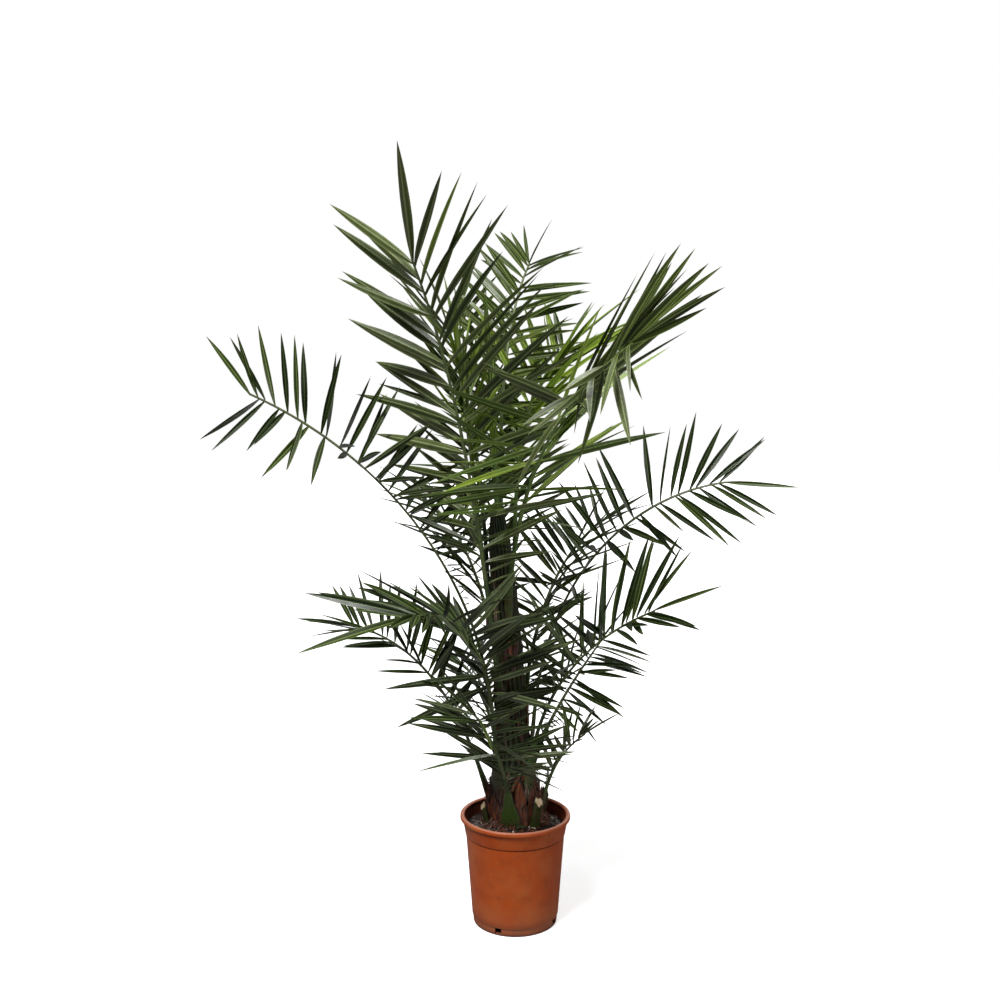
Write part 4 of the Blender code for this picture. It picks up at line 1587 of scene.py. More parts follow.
def stalk_materials(green: Green) -> list[Material]:
    """Makes the finishes of one green's ribs: base, foot, stalk and blade."""
    names = (f"stalk_{green.value}{part}" for part in ("_base", "_foot", "", "_blade"))
    return [stalk_finish(name, *look).build() for name, look in zip(names, STALK_LOOKS[green])]


# ---- trunk
@dataclass(frozen=True)
class Ripple:
    """A smooth wandering value over a plane, from a few seeded waves."""

    seed: int
    size: float
    waves: int = 9

    def read(self, x: ndarray, y: ndarray) -> ndarray:
        """Reads the value, about -1 to 1.

        Args:
            x: First coordinates.
            y: Second coordinates.

        Returns:
            The values.
        """
        random = np.random.default_rng(self.seed)
        total = np.zeros(np.broadcast(x, y).shape)
        for _ in range(self.waves):
            turn, phase = random.uniform(0, FULL_TURN, 2)
            step = FULL_TURN / self.size * random.uniform(0.6, 1.9)
            total += np.sin(step * (x * math.cos(turn) + y * math.sin(turn)) + phase)
        return total / math.sqrt(self.waves)


@dataclass
class Trunk:
    """The bulb and the column of old leaf bases, with fibre hanging between them."""

    column: Column
    seed: int = 23
    sides: int = 180
    rings: int = 150
    ridges: int = 9
    ridge_turn: float = 1.1  # radians that the ridges wind from foot to tip
    ridge_depth: float = 0.24  # of the radius
    scale_depth: float = 0.09  # of the radius, on the bulb
    green_from: float = 0.37
    bulb: Pair = (0.29, 0.36)  # heights between which the bulb passes into the column
    old_stalk_from: float = 0.40  # how far a ridge stands out where it is still green
    crowding: float = 3.4  # above 1 the fibre gathers low on the trunk
    strands: int = 420
    strand: tuple[float, float, Pair, float] = (0.238, 0.62, (0.03, 0.11), 0.25)
    strips: int = 90
    strip: tuple[float, float, Pair, float] = (0.245, 0.50, (0.04, 0.10), 0.35)
    tufts: tuple[Pair, ...] = (
        (-40, 0.330), (-150, 0.325), (-20, 0.300), (60, 0.330), (115, 0.320), (165, 0.300),
    )
    tuft_threads: int = 26
    # heading, height, reach and rise of single threads
    strays: tuple[Quad, ...] = (
        (-150, 0.262, 0.026, 0.075), (-155, 0.300, 0.020, 0.030), (-38, 0.330, 0.014, 0.035),
        (-30, 0.320, 0.024, 0.030), (80, 0.300, 0.022, 0.050), (140, 0.310, 0.018, 0.040),
    )
    # heading, height, run and half width of each sheath
    sheaths: tuple[Quad, ...] = (
        (-74, 0.252, 0.115, 0.020), (-58, 0.248, 0.080, 0.017), (-130, 0.250, 0.095, 0.016),
        (-30, 0.255, 0.070, 0.018), (-5, 0.250, 0.090, 0.019), (28, 0.248, 0.080, 0.018),
        (62, 0.254, 0.095, 0.019), (96, 0.250, 0.085, 0.018), (126, 0.248, 0.090, 0.018),
        (158, 0.252, 0.085, 0.019), (-168, 0.250, 0.075, 0.017),
    )
    shreds: int = 9
    # heading, height and run of the pale papery edges
    papery: tuple[Triple, ...] = (
        (-121, 0.262, 0.09), (-82, 0.258, 0.07), (-56, 0.285, 0.06), (20, 0.270, 0.08),
        (105, 0.265, 0.08), (170, 0.270, 0.07),
    )
    fibres: tuple[tuple, ...] = (
        ("fibre_red", (0.085, 0.022, 0.009), (0.22, 0.070, 0.028), (0.06, 0.02, 0.012)),
        ("fibre_purple", (0.040, 0.014, 0.012), (0.11, 0.042, 0.030), (0.03, 0.012, 0.01)),
        ("fibre_tan", (0.10, 0.060, 0.040), (0.26, 0.18, 0.12), (0.07, 0.04, 0.03)),
        ("sheath_red", (0.13, 0.028, 0.007), (0.30, 0.080, 0.020), (0.08, 0.022, 0.009), 240.0, 0.06),
    )
    # a shred's width along its run
    taper: tuple[tuple[float, ...], tuple[float, ...]] = (
        (0, 0.15, 0.6, 0.9, 1.0), (0.6, 1.0, 0.9, 0.55, 0.15),
    )

    def build(self) -> None:
        """Makes the trunk's skin, its fibre and its ragged sheaths."""
        self.random = np.random.default_rng(self.seed)
        self.build_skin()
        self.build_fibre()

    def build_skin(self) -> None:
        """Makes the closed skin with the relief of leaf bases and fibre."""
        column = self.column
        run = column.top - column.foot
        heights = np.linspace(column.foot, column.top, self.rings)
        turns = np.linspace(0, FULL_TURN, self.sides, endpoint=False)
        grid_turn, grid_height = np.meshgrid(turns, heights)
        share = (grid_height - column.foot) / run
        wave = np.cos(self.ridges * grid_turn + self.ridge_turn * self.ridges * share)
        ridge = np.abs(wave) ** 0.6
        bulb = 1 - np.clip((grid_height - self.bulb[0]) / (self.bulb[1] - self.bulb[0]), 0, 1)
        scales = np.mod(grid_turn * 5 / math.pi + grid_height * 60, 1.0)
        relief = (1 - bulb) * (ridge - 1) * self.ridge_depth + bulb * (scales - 1) * self.scale_depth
        fine = Ripple(3, 0.05).read(grid_turn * 1.5, grid_height * 0.10) * 0.012
        fine += Ripple(5, 0.35).read(grid_turn, grid_height * 3) * 0.02
        radii = np.interp(share, column.shares, column.radii) * (1 + relief + fine - 0.02)
        points = [
            column.centre(float(height)) + level_way(turn) * radii[k, j]
            for k, height in enumerate(heights) for j, turn in enumerate(turns)
        ]
        skin = mesh_object("trunk_skin", points, ring_faces(self.rings, self.sides))
        tones = []
        for face in skin.data.polygons:
            middle = face.center
            k = min(self.rings - 1, int(round((middle.z - column.foot) / run * (self.rings - 1))))
            turn = math.atan2(middle.y, middle.x - column.centre(middle.z)[0]) % FULL_TURN
            j = int(round(turn / FULL_TURN * self.sides)) % self.sides
            tones.append(int(ridge[k, j] > self.old_stalk_from and middle.z > self.green_from))
        dress(skin, (
            FibreFinish("trunk_fibre", (0.014, 0.007, 0.004), (0.050, 0.020, 0.010), (0.008, 0.005, 0.003)),
            stalk_finish("old_stalk", (0.014, 0.026, 0.007), 0.25),
        ), tones)
        face_outwards(skin)
        shade_smooth(skin, 60)
        hand_over(skin, ["trunk"])

    def surface(self, turn: float, height: float, off: float = 0.0) -> ndarray:
        """A point that stands off the trunk's plain shape at a turn in radians."""
        return self.column.centre(height) + level_way(turn) * (self.column.radius(height) + off)

    def on_bark(self, turn: float, height: float, off: float, half: Triple, tone: float) -> tuple:
        """A strip's row on the trunk: its point, axes, half width and depth, and tone."""
        level = level_way(turn)
        return self.surface(turn, height, off), unit(np.cross(UPRIGHT, level)), level, half, tone

    def build_fibre(self) -> None:
        """Makes loose strands and flat ragged strips that run up the trunk."""
        threads, strips = Tubes(), Tubes()
        for k in range(self.strands):
            self.add_strand(threads, k)
        for k in range(self.strips):
            self.add_strip(strips, k)
        self.add_tufts(threads)
        self.add_sheaths(strips)
        made = [FibreFinish(*look).build() for look in self.fibres]
        hand_over(threads.make("fibre_strands", round_section(4), made))
        hand_over(strips.make("fibre_sheaths", round_section(6), made))

    def climb(self, low: float, rise: float, runs: Pair, spread: float) -> tuple[float, ...]:
        """Draws how one strand or strip climbs the trunk.

        Args:
            low: The lowest height of its foot.
            rise: How far up the others start.
            runs: The least and the most that it climbs.
            spread: How far it winds.

        Returns:
            Its height, run, turn and drift.
        """
        draw = self.random
        height = low + draw.random() ** self.crowding * rise
        return height, draw.uniform(*runs), draw.uniform(0, FULL_TURN), draw.normal(0, spread)

    def add_strand(self, threads: Tubes, number: int) -> None:
        """Adds one loose strand that wanders up the trunk.

        Args:
            threads: Where it is gathered.
            number: Its number.
        """
        height, run, turn, drift = self.climb(*self.strand)
        lift = abs(self.random.normal(0.002, 0.003))
        points = []
        for step in np.linspace(0, 1, 6):
            off = -0.002 + lift * 4 * step * step
            wander = drift * step + self.random.normal(0, 0.03)
            points.append(self.surface(turn + wander, min(0.97, height + run * step), off))
        threads.add_thread(points, [0.0005] * 5 + [0.0002], float(number % 3))

    def add_strip(self, strips: Tubes, number: int) -> None:
        """Adds one flat strip whose upper end stands off the trunk.

        Args:
            strips: Where it is gathered.
            number: Its number.
        """
        height, run, turn, drift = self.climb(*self.strip)
        rows = []
        for step in np.linspace(0, 1, 8):
            ragged = self.random.uniform(0.6, 1.0) * (1 - step**3 * 0.85)
            half = (0.006 * ragged, 0.0005, 0.0)
            off = 0.0004 + 0.006 * step**3
            here = min(0.96, height + run * step)
            rows.append(self.on_bark(turn + drift * step, here, off, half, number % 3))
        strips.add_path(rows)

    def add_tufts(self, threads: Tubes) -> None:
        """Adds ragged tufts that stand off the bulb, and a few fine stray threads.

        Args:
            threads: Where they are gathered.
        """
        for heading, height in self.tufts:
            for _ in range(self.tuft_threads):
                turn = math.radians(heading + self.random.normal(0, 7))
                start = self.surface(turn, height + self.random.normal(0, 0.012), -0.001)
                out = heading_vector(math.degrees(turn) + self.random.normal(0, 25))
                way = unit(out + UPRIGHT * self.random.uniform(0.2, 2.0))
                reach = self.random.uniform(0.008, 0.022)
                points = [
                    start + way * reach * step + out * reach * 0.3 * step**2 for step in (0, 0.4, 0.75, 1)
                ]
                threads.add_thread(points, [0.0009, 0.0007, 0.0005, 0.0002], 1.0)
        for heading, height, out, rise in self.strays:
            level = heading_vector(heading)
            start = self.surface(math.radians(heading), height)
            steps = np.linspace(0, 1, 6)
            points = [start + level * out * step**0.5 + UPRIGHT * rise * step for step in steps]
            threads.add_thread(points, [0.0003] * 5 + [0.0002], 2.0)

    def add_sheaths(self, strips: Tubes) -> None:
        """Adds the ragged sheaths that wrap the bulb between its stubs, and pale papery edges.

        Args:
            strips: Where they are gathered.
        """
        for heading, height, run, half in self.sheaths:
            spread = math.degrees(half / self.column.radius(height))
            for place in np.linspace(-1, 1, self.shreds):
                turn = heading + place * spread + self.random.normal(0, 3)
                low = height + self.random.uniform(-0.006, 0.012)
                reach = run * self.random.uniform(0.45, 1.0) * (1 - 0.3 * abs(place))
                wide = half * self.random.uniform(0.30, 0.50)
                tone = self.random.choice((0.0, 1.0, 3.0, 3.0))
                self.add_shred(strips, turn, (low, reach), wide, tone)
        for heading, height, run in self.papery:
            for _ in range(5):
                turn = heading + self.random.normal(0, 2.5)
                low = height + self.random.uniform(-0.004, 0.03)
                reach = run * self.random.uniform(0.3, 0.8)
                self.add_shred(strips, turn, (low, reach), 0.0028, 2.0)

    def add_shred(self, strips: Tubes, heading: float, span: Pair, half: float, tone: float) -> None:
        """Adds one ragged shred of a sheath, its upper end curled off the bulb.

        Args:
            strips: Where it is gathered.
            heading: Its heading.
            span: Its lowest height and its run up the bulb.
            half: Half its width.
            tone: Its finish.
        """
        lift, drift = self.random.uniform(0.0004, 0.003), self.random.normal(0, 5)
        curl = self.random.uniform(0.0, 0.009)
        rows = []
        for step in np.linspace(0, 1, 9):
            off = lift + 0.002 * math.sin(math.pi * step) + curl * step**4
            wide = half * float(np.interp(step, *self.taper)) * self.random.uniform(0.75, 1.1)
            turn = math.radians(heading + drift * step)
            rows.append(self.on_bark(turn, span[0] + span[1] * step, off, (wide, 0.0014, 0.0), tone))
        strips.add_path(rows)


@dataclass(frozen=True)
class Stub:
    """The stub of a frond that was cut off low on the trunk."""

    heading: float
    foot: float
    top: float
    width: float


@dataclass
class CutBases:
    """Short stubs that lean on the bulb, each with a pale slanting cut."""

    column: Column
    stubs: dict[str, Stub] = field(default_factory=lambda: {
        "cut_base_right": Stub(-52, 0.240, 0.312, 0.030),
        "cut_base_left": Stub(-160, 0.240, 0.288, 0.030),
        "cut_base_back_right": Stub(28, 0.240, 0.300, 0.030),
        "cut_base_back": Stub(72, 0.240, 0.318, 0.032),
        "cut_base_back_left": Stub(138, 0.240, 0.288, 0.028),
    })
    depth: float = 0.013
    seed: int = 3
    slope: float = 76.0
    ragged: float = 0.0032
    sides: int = 16
    shape: tuple[Triple, ...] = (
        (-0.04, 0.70, 0.60), (0.0, 0.90, 0.9), (0.15, 0.98, 1.0), (0.35, 1.0, 1.0),
        (0.6, 0.94, 0.98), (0.85, 0.86, 0.95), (0.98, 0.80, 0.90), (1.0, 0.74, 0.84),
    )

    def build(self) -> None:
        """Makes all the stubs as one piece."""
        self.random = np.random.default_rng(self.seed)
        own = ring_faces(len(self.shape), self.sides)
        points, faces = join_solids((self.rings(stub), own) for stub in self.stubs.values())
        rim_rings = (0, 1, len(self.shape) - 2)
        tones = [2 if k // self.sides in rim_rings else 0 for k in range(len(own) - 2)] + [0, 1]
        piece = mesh_object("cut_bases", points, faces)
        dress(piece, (
            stalk_finish("stub_green", (0.022, 0.048, 0.008), 0.5),
            GrainyFinish("cut_face", (0.50, 0.36, 0.20), (0.66, 0.52, 0.33), 260.0, (0.6, 0.8), 0.0006),
            GrainyFinish("cut_rim", (0.045, 0.016, 0.010), (0.13, 0.05, 0.025), 260.0),
        ), tones * len(self.stubs))
        face_outwards(piece)
        shade_smooth(piece, 50)
        hand_over(piece, list(self.stubs))

    def rings(self, stub: Stub) -> list[ndarray]:
        """The points of one stub, ring by ring.

        Args:
            stub: The stub.

        Returns:
            Its points.
        """
        outward = heading_vector(stub.heading)
        across = np.cross(UPRIGHT, outward)
        slope = math.radians(self.slope)
        line = outward * math.cos(slope) + UPRIGHT * math.sin(slope)
        inward = -outward * math.sin(slope) + UPRIGHT * math.cos(slope)
        reach = max(self.column.radius(z) for z in np.linspace(stub.foot, stub.top, 5))
        start = self.column.centre(stub.foot) + outward * (reach + self.depth * 0.45)
        points = []
        for share, wide, deep in self.shape:
            centre = start + line * share * (stub.top - stub.foot)
            centre = centre + inward * self.depth / 2 * (1 - deep)
            for x, y in round_section(self.sides):
                flat = y if y < 0 else y * 0.6
                slant = UPRIGHT * (0.007 * y + self.random.normal(0, self.ragged) if share > 0.95 else 0.0)
                point = centre + across * x * stub.width / 2 * wide - inward * -flat * self.depth / 2 * deep
                points.append(point + slant)
        return points


@dataclass
class Spear:
    """The youngest leaf, still folded: a tight bundle of narrow blades on the trunk's tip."""

    column: Column
    length: float = 0.44
    radius: float = 0.0085
    lean: float = 0.02
    blades: int = 9
    seed: int = 5

    def build(self, fronds: Fronds) -> None:
        """Makes the folded stalk and the blades round it.

        Args:
            fronds: Gives the leaflet's shape.
        """
        foot = self.column.centre(self.column.top - 0.03)
        random = np.random.default_rng(self.seed)
        core, rows = Tubes(), Scatter()
        line = unit(np.array((-self.lean, 0.0, self.length)))
        shares = np.linspace(0, 1, 14)
        radii = self.radius * np.interp(shares, (0, 0.25, 0.6, 1.0), (0.75, 0.95, 0.55, 0.08))
        core.add_thread([foot + line * self.length * share for share in shares], list(radii))
        for k in range(self.blades):
            out = heading_vector(360 * k / self.blades + random.uniform(-12, 12))
            start = foot + line * random.uniform(0.05, 0.22) + out * self.radius * 0.7
            way = unit(line + out * random.uniform(-0.01, 0.035))
            length = (self.length - 0.05) * random.uniform(0.55, 0.92)
            rows.add(start, way, -out, (0.013, length, 0.02), float(k % 3), out * 0.004)
        blade = fronds.leaf_shape("spear_blade")
        blades = rows.make("spear_blades", blade, leaf_materials(Green.FRESH))
        hand_over(blades, ["spear_leaf"])
        finish = stalk_finish("stalk_fresh", *STALK_LOOKS[Green.FRESH][2])
        stalk = core.make("spear_core", round_section(10), [finish.build()])
        shade_smooth(stalk)
        hand_over(stalk, ["spear_leaf"])


# ---- pot and soil
@dataclass
class Pot:
    """A moulded nursery pot: rolled lip, stepped collar with a seam, foot band with drain holes."""

    height: float = 0.260
    rim: float = 0.130
    lip: float = 0.010
    # the lip's roll: how far inside the rim and below the top
    rolled: tuple[Pair, ...] = (
        (0.0098, 0.0026), (0.0085, 0.0012), (0.0068, 0.0003), (0.0045, 0.0), (0.0022, 0.0006),
        (0.0006, 0.0022), (0.0, 0.0042),
    )
    collar: float = 0.1240
    collar_foot: float = 0.1180
    collar_height: float = 0.036
    step: float = 0.0018
    foot: float = 0.1003
    foot_band: float = 0.019
    base: float = 0.0988
    wall: float = 0.0028
    floor: float = 0.004
    sides: int = 144
    seam_heading: float = -51.0
    seam_height: float = 0.0010
    drains: int = 4
    drain: Triple = (0.012, 0.016, 0.014)
    drain_first: float = -114.0
    # the inner wall's colour: a darker plastic that paints the shade inside the pot
    soiled_and_shaded: Colour = (0.120, 0.026, 0.009)

    def profile(self) -> list[tuple[float, float, bool]]:
        """The section's points from the inner floor up, over the lip and down to the base.

        Returns:
            Radius, height and whether the seam shows there, for each point.
        """
        top = self.height - self.lip
        neck = top - self.collar_height
        wall_in = self.collar - self.wall
        body, foot = self.collar_foot - self.step, self.foot + self.step
        points = [
            (self.base - self.wall, self.floor), (body - self.wall, neck), (wall_in, top - 0.001),
            (wall_in + 0.0006, top + 0.004),
        ]
        points += [(self.rim - inside, self.height - down) for inside, down in self.rolled]
        points += [
            (self.rim, top + 0.0012), (self.rim - 0.0009, top + 0.0001), (self.rim - 0.003, top),
            (self.collar + 0.0022, top + 0.0002), (self.collar + 0.0006, top - 0.0006),
            (self.collar, top - 0.0026),
        ]
        seam = [
            (along((self.collar, self.collar_foot), share), along((top - 0.0026, neck + 0.0012), share))
            for share in np.linspace(0.12, 1, 5)
        ]
        under = [
            (self.collar_foot - 0.0004, neck + 0.0002), (body - 0.0016, neck),
            (body - 0.0016, neck - 0.0014), (body - 0.0002, neck - 0.0024),
        ]
        under += [
            (along((body, foot), share), along((neck - 0.0024, self.foot_band + 0.0006), share))
            for share in np.linspace(0.04, 1, 12)
        ]
        under += [
            (foot - 0.0004, self.foot_band), (self.foot, self.foot_band - 0.0001),
            (self.foot - 0.0002, self.foot_band - 0.001), (self.base + 0.0004, 0.0020),
            (self.base, 0.0008), (self.base - 0.0012, 0.0),
        ]
        parts = ((points, False), (seam, True), (under, False))
        return [(radius, height, seamed) for rows, seamed in parts for radius, height in rows]

    def headings(self) -> list[float]:
        """Headings of the pot's sides, with a few closer ones at the seam.

        Returns:
            The headings in degrees.
        """
        even = [360 * k / self.sides - 180 for k in range(self.sides)]
        near = [self.seam_heading + off for off in (-0.7, -0.35, -0.22, 0.22, 0.35, 0.7)]
        kept = [a for a in even if abs(a - self.seam_heading) > 1.0]
        return sorted(kept + near)

    def build(self) -> None:
        """Makes the pot's shell and cuts its drain holes."""
        headings, points = self.headings(), []
        rows = self.profile()
        for radius, height, seamed in rows:
            for heading in headings:
                on_seam = seamed and abs(heading - self.seam_heading) < 0.25
                reach = radius + (self.seam_height if on_seam else 0.0)
                points.append(heading_vector(heading) * reach + UPRIGHT * height)
        pot = mesh_object("pot_shell", points, ring_faces(len(rows), len(headings)))
        face_outwards(pot)
        for k in range(self.drains):
            self.cut_drain(pot, k)
        keep_modified(pot)
        for k in range(self.drains):
            bpy.data.objects.remove(bpy.data.objects[f"drain_cutter_{k}"])
        pot.data.materials.clear()
        above = 2 * self.height  # no dust, no worn rim and no painted rim highlight inside
        # the inner wall takes the darker colour as painted shade inside the pot
        soiled_and_shaded = PotFinish(
            "soiled_plastic", self.soiled_and_shaded, self.soiled_and_shaded, dust_top=0.0, rim_wear_and_highlight=(above, above + 0.01)
        )
        tones = []
        for face in pot.data.polygons:
            inner = face.normal.x * face.center.x + face.normal.y * face.center.y < 0
            tones.append(int(inner and self.floor < face.center.z < self.height - 0.006))
        dress(pot, (PotFinish(), soiled_and_shaded), tones)
        shade_smooth(pot, 32)
        hand_over(pot, ["pot"])

    def cut_drain(self, pot: Object, index: int) -> None:
        """Cuts a square notch through the wall of the foot band.

        Args:
            pot: The pot.
            index: The notch's number.
        """
        cutter = new_object(f"drain_cutter_{index}", bpy.data.meshes.new("drain_cutter"))
        shaped = bmesh.new()
        bmesh.ops.create_cube(shaped, size=1.0)
        bmesh.ops.scale(shaped, vec=self.drain, verts=shaped.verts)
        shaped.to_mesh(cutter.data)
        shaped.free()
        heading = self.drain_first + 360 / self.drains * index
        cutter.location = heading_vector(heading) * self.base + UPRIGHT * (self.floor + self.drain[2] / 2)
        cutter.rotation_euler.z = math.radians(heading)
        cut = pot.modifiers.new(cutter.name, "BOOLEAN")
        cut.operation = "DIFFERENCE"
        cut.solver = "EXACT"
        cut.object = cutter


@dataclass
class Soil:
    """Potting soil with crumbs, chips of bark, pale roots and what has fallen on it."""

    top: float = 0.232
    reach: float = 0.1166
    depth: float = 0.222
    trunk: float = 0.060
    mound: Pair = (0.036, 0.023)  # how far it runs from the trunk, and its height
    edge: Triple = (0.102, 0.016, 0.004)  # where it starts to fall, over what run and by how much
    rings: int = 44
    sides: int = 120
    crumbs: int = 1500
    chips: int = 150
    roots: int = 66
    red_roots: int = 150
    crust: int = 420
    pale_chips: tuple[Triple, ...] = (
        (0.034, -0.062, 0.017), (0.046, -0.056, 0.019), (0.041, -0.066, 0.013), (0.088, 0.030, 0.013),
        (-0.006, -0.080, 0.011), (-0.080, -0.020, 0.009), (-0.030, 0.086, 0.012), (0.040, 0.082, 0.010),
    )
    fallen: Triple = (0.012, -0.070, 0.006)  # where the fallen stub lies, and how high
    crumb_grain: float = 400.0
    crumb_looks: tuple[tuple[str, Colour, Colour], ...] = (
        ("crumb_black", (0.005, 0.004, 0.003), (0.018, 0.012, 0.008)),
        ("crumb_brown", (0.014, 0.008, 0.005), (0.045, 0.022, 0.013)),
        ("crumb_red", (0.045, 0.018, 0.010), (0.11, 0.045, 0.024)),
        ("crumb_umber", (0.018, 0.011, 0.007), (0.055, 0.032, 0.020)),
    )
    chip_grain: float = 300.0
    chip_looks: tuple[tuple[str, Colour, Colour], ...] = (
        ("bark_chip", (0.040, 0.018, 0.010), (0.12, 0.055, 0.030)),
        ("bark_chip_dark", (0.018, 0.010, 0.007), (0.060, 0.030, 0.018)),
        ("pale_chip", (0.50, 0.40, 0.26), (0.78, 0.68, 0.52)),
        ("root_crust", (0.055, 0.016, 0.008), (0.17, 0.050, 0.020)),
    )
    root_looks: tuple[tuple[str, Colour, Colour, Colour], ...] = (
        ("root_pale", (0.34, 0.28, 0.24), (0.66, 0.58, 0.52), (0.28, 0.22, 0.18)),
        ("root_grey", (0.16, 0.13, 0.115), (0.38, 0.32, 0.29), (0.13, 0.10, 0.085)),
        ("root_red", (0.075, 0.018, 0.008), (0.20, 0.055, 0.022), (0.05, 0.016, 0.009)),
    )
    root_reach: float = 0.106
    root_spots: tuple[Pair, ...] = ((-0.088, -0.004), (0.086, 0.006), (-0.050, -0.060))
    seed: int = 41

    def height(self, x: ndarray, y: ndarray) -> ndarray:
        """How high the soil lies at a place.

        Args:
            x: Places along X.
            y: Places along Y.

        Returns:
            The heights.
        """
        away = np.hypot(x, y)
        lumps = Ripple(7, 0.045).read(x, y) * 0.0018 + Ripple(8, 0.012).read(x, y) * 0.0008
        run, rise = self.mound
        mound = np.clip(1 - (away - self.trunk) / run, 0, 1) ** 1.3 * rise
        start, run, drop = self.edge
        return self.top + lumps + mound - np.clip((away - start) / run, 0, 1) * drop

    def laid(self, level: ndarray) -> ndarray:
        """Lifts a level place up to the soil."""
        return level + UPRIGHT * float(self.height(level[0], level[1]))

    def build(self) -> None:
        """Makes the soil's body and all that lies on it."""
        self.random = np.random.default_rng(self.seed)
        self.build_bed()
        self.build_crumbs()
        self.build_roots()

    def build_bed(self) -> None:
        """Makes the closed body of soil."""
        radii = np.linspace(0.02, self.reach, self.rings)
        turns = np.linspace(0, 360, self.sides, endpoint=False)
        rims = ((0.090, self.top - self.depth + 0.002), (0.1118, self.top - 0.022))
        points = [heading_vector(a) * reach + UPRIGHT * z for reach, z in rims for a in turns]
        points += [self.laid(heading_vector(turn) * radius) for radius in radii[::-1] for turn in turns]
        bed = mesh_object("soil_bed", points, ring_faces(self.rings + 2, self.sides))
        dark = GrainyFinish(
            "soil_dark", (0.006, 0.004, 0.003), (0.026, 0.015, 0.010), 160.0, (0.85, 1.0), 0.004
        )
        dress(bed, [dark])
        face_outwards(bed)
        shade_smooth(bed, 70)
        hand_over(bed, ["soil"])

    def crumb_shape(self, name: str, flat: float) -> Object:
        """A small broken lump of 20 faces, of width, length and depth 1.

        Args:
            name: The object's name.
            flat: Its depth against its width.

        Returns:
            The object.
        """
        item = new_object(name, bpy.data.meshes.new(name))
        shaped = bmesh.new()
        bmesh.ops.create_icosphere(shaped, subdivisions=1, radius=0.5)
        for corner in shaped.verts:
            corner.co *= self.random.uniform(0.65, 1.15)
            corner.co.z *= flat
        bmesh.ops.recalc_face_normals(shaped, faces=shaped.faces)
        shaped.to_mesh(item.data)
        shaped.free()
        return item

    def spot(self, low: float = 0.056, high: float = 0.112) -> ndarray:
        """A random place on the soil between two distances from the middle."""
        away = math.sqrt(self.random.uniform(low**2, high**2))
        return self.laid(heading_vector(self.random.uniform(0, 360)) * away)

    def tumbled(self) -> tuple[ndarray, ndarray]:
        """A random line and upper side."""
        line = unit(self.random.normal(0, 1, 3) * np.array((1, 1, 0.35)))
        return line, unit(np.cross(line, self.random.normal(0, 1, 3)))

    def build_crumbs(self) -> None:
        """Makes the crumbs and the chips of bark and cut wood."""
        crumbs, chips = Scatter(), Scatter()
        for k in range(self.crumbs):
            size = self.random.uniform(0.0015, 0.0055) * self.random.uniform(0.5, 1.0)
            point = self.spot()
            line, upper = self.tumbled()
            crumbs.add(point, line, upper, (size, size * 1.3, size), float(k % 4))
        for k in range(self.chips):
            point = self.spot() + UPRIGHT * 0.001
            line, upper = self.tumbled()
            upper = unit(upper + UPRIGHT * 2.5 - line * float(line @ UPRIGHT))
            length = self.random.uniform(0.006, 0.016)
            chips.add(point, line, upper, (length * 0.5, length, length * 0.5), float(k % 2))
        for k in range(self.crust):
            point = self.spot(0.060, 0.080) + UPRIGHT * self.random.uniform(0.0, 0.006)
            line, upper = self.tumbled()
            length = self.random.uniform(0.006, 0.015)
            chips.add(point, line, upper, (length * 0.5, length, length * 0.9), 3.0)
        for x, y, length in self.pale_chips:
            point = self.laid(np.array((x, y, 0.004)))
            line, upper = self.tumbled()
            chips.add(point, line, upper, (length * 0.6, length, length * 0.6), 2.0)
        line = unit(np.array((1.0, -0.25, 0.1)))
        chips.add(self.laid(np.array(self.fallen)), line, UPRIGHT, (0.017, 0.032, 0.030), 4.0)
        made = [GrainyFinish(*look, self.crumb_grain).build() for look in self.crumb_looks]
        hand_over(crumbs.make("soil_crumbs", self.crumb_shape("crumb", 0.8), made))
        made = [GrainyFinish(*look, self.chip_grain).build() for look in self.chip_looks]
        made.append(stalk_finish("fallen_stub", (0.014, 0.030, 0.008), 0.3).build())
        hand_over(chips.make("soil_chips", self.crumb_shape("chip", 0.35), made))

    def build_roots(self) -> None:
        """Makes the pale fine roots that lie in tangles on the soil."""
        threads = Tubes()
        for k in range(self.roots):
            if k % 6 == 0:
                start = self.spot(0.058, 0.085)
            else:
                spot = np.array((*self.root_spots[k // 3 % 3], 0.0))
                start = spot + self.random.normal(0, 0.009, 3) * np.array((1, 1, 0))
            turn, steps = self.random.uniform(0, FULL_TURN), 9
            stride = self.random.uniform(0.004, 0.008)
            lift = self.random.uniform(0.002, 0.012)
            points = []
            here = start.copy()
            for step in range(steps):
                away = math.hypot(here[0], here[1])
                if away > self.root_reach:
                    here[:2] *= self.root_reach / away
                rise = math.sin(math.pi * step / (steps - 1)) * lift
                points.append(self.laid(np.array((*here[:2], rise))))
                turn += self.random.normal(0, 0.6)
                here = here + level_way(turn) * stride
            threads.add_thread(points, [0.0002] + [0.0004] * (steps - 2) + [0.0002], float(k % 3 == 2))
        for _ in range(self.red_roots):
            here = self.spot(0.060, 0.078) + UPRIGHT * self.random.uniform(-0.002, 0.008)
            way = unit(self.random.normal(0, 1, 3) * np.array((1, 1, 0.5)))
            points = []
            for _ in range(6):
                points.append(here.copy())
                way = unit(way + self.random.normal(0, 0.35, 3) - UPRIGHT * 0.1)
                here = here + way * 0.004
            threads.add_thread(points, [0.0004] + [0.0008] * 4 + [0.0003], 2.0)
        made = [FibreFinish(*look).build() for look in self.root_looks]
        hand_over(threads.make("soil_roots", round_section(3), made))


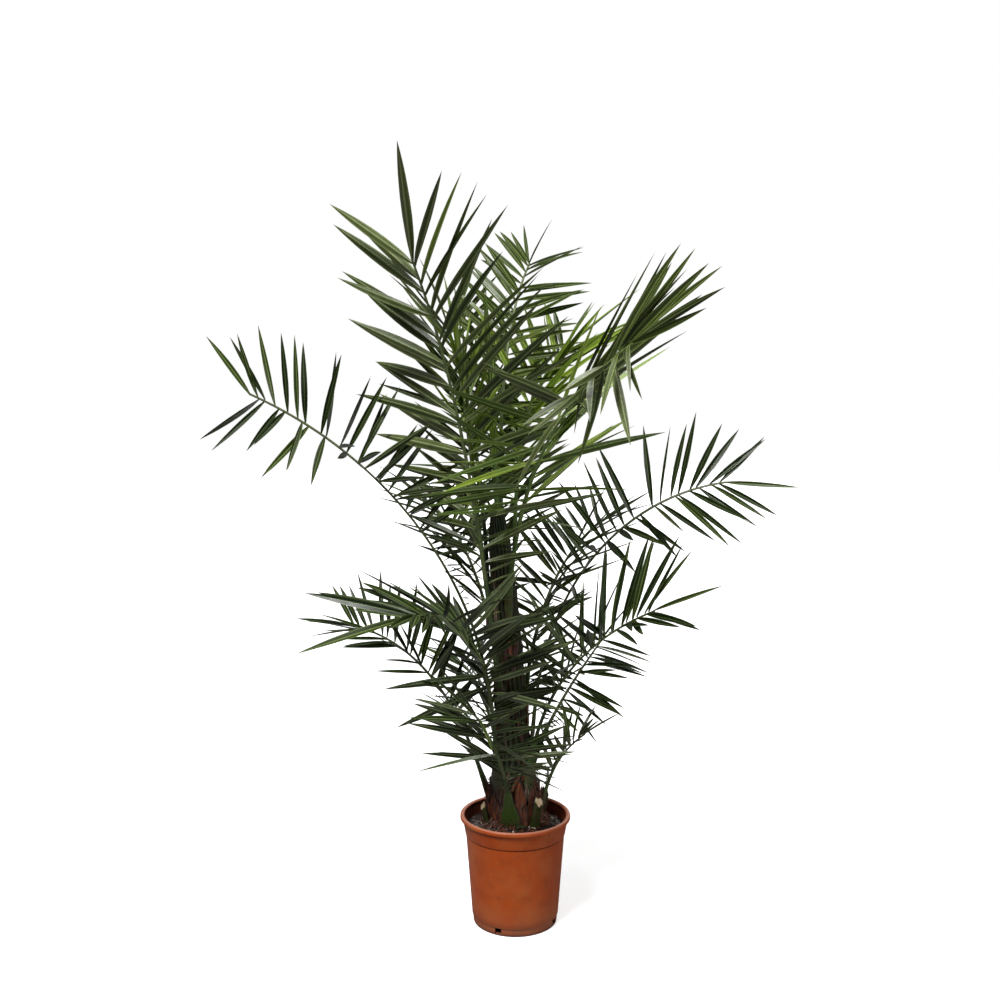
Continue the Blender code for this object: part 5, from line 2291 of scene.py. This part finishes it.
# ---- studio
@dataclass
class Studio:
    """Plain pale floor, soft lights and the camera."""

    camera_place: Triple = (-0.036, -2.63, 1.28)
    pitch: float = 6.0
    lens: float = 41.4
    # way that it comes from, power in watts a square metre and width in degrees of each sun
    suns: dict[str, tuple[Triple, float, float]] = field(default_factory=lambda: {
        "key": ((-1.2, -1.7, 3.0), 3.5, 18.0),
        "fill": ((2.2, -2.4, 1.2), 0.8, 30.0),
        "back": ((0.9, 2.2, 1.9), 1.0, 40.0),
    })
    floor_reach: float = 14.0
    floor_sides: int = 96
    glow: Colour = (0.46, 0.46, 0.46)
    sky: Pair = (0.03, 0.45)  # how strongly it lights from the side and from above
    sky_from: float = 0.25

    def build(self) -> None:
        """Sets up the floor, the lights and the camera."""
        self.build_floor()
        self.build_world()
        for name, (place, power, width) in self.suns.items():
            light = bpy.data.lights.new(name, "SUN")
            light.energy, light.angle = power, math.radians(width)
            item = new_object(name, light)
            item.location = place
            item.rotation_euler = (-item.location).to_track_quat("-Z", "Y").to_euler()
        self.build_camera()

    def build_floor(self) -> None:
        """Makes the floor as one wide disc, a little brighter to the camera than to the plant."""
        sides = self.floor_sides
        rim = [heading_vector(360 * k / sides) * self.floor_reach for k in range(sides)]
        floor = mesh_object("floor", rim, [tuple(range(sides))])
        finish = Finish("floor_pale")
        mottle = finish.use("soft_mottle", Scale=3.0, Low=0.3, High=0.7)
        colour = finish.blend(mottle["Mask"], (0.92, 0.92, 0.92), (0.95, 0.95, 0.95))
        seen = finish.add("ShaderNodeLightPath").outputs["Is Camera Ray"]
        inputs = finish.shader.inputs
        finish.feed(inputs["Base Color"], finish.blend(seen, (0.18, 0.18, 0.18), colour))
        finish.feed(inputs["Emission Color"], finish.blend(seen, (0.0, 0.0, 0.0), self.glow))
        inputs["Emission Strength"].default_value = 1.0
        inputs["Roughness"].default_value = 0.9
        floor.data.materials.append(finish.made)

    def build_world(self) -> None:
        """Gives the world an even pale backdrop that lights the plant more gently than it shows."""
        world = bpy.data.worlds.new("studio_world")
        world.use_nodes = True
        nodes = NodeMaker(world.node_tree)
        shell = world.node_tree.nodes["Background"].inputs
        seen = nodes.add("ShaderNodeLightPath").outputs["Is Camera Ray"]
        up = nodes.parts(nodes.add("ShaderNodeTexCoord").outputs["Generated"])["Z"]
        lit = nodes.remap(up, (self.sky_from, 1.0), self.sky)
        shell["Color"].default_value = (1.0, 1.0, 1.0, 1.0)
        nodes.feed(shell["Strength"], nodes.math("MAXIMUM", seen, lit))
        bpy.context.scene.world = world

    def build_camera(self) -> None:
        """Sets up the camera."""
        data = bpy.data.cameras.new("camera")
        data.lens, data.sensor_width = self.lens, 36.0
        data.clip_start, data.clip_end = 0.05, 60.0
        item = new_object("camera", data)
        tilt = Matrix.Rotation(math.radians(90 - self.pitch), 4, "X")
        item.matrix_world = Matrix.Translation(self.camera_place) @ tilt
        bpy.context.scene.camera = item


def main() -> None:
    """Builds every piece in order."""
    logging.basicConfig(level=logging.INFO, format="%(name)s: %(message)s")
    bpy.context.scene.view_settings.view_transform = "Standard"
    build_mottle_group()
    build_fibre_group()
    build_vein_group()
    column = Column()
    Pot().build()
    Soil().build()
    Trunk(column).build()
    CutBases(column).build()
    fronds = Fronds(column, CAD_BOX)
    fronds.build()
    Spear(column).build(fronds)
    Studio().build()


if __name__ == "__main__":
    main()
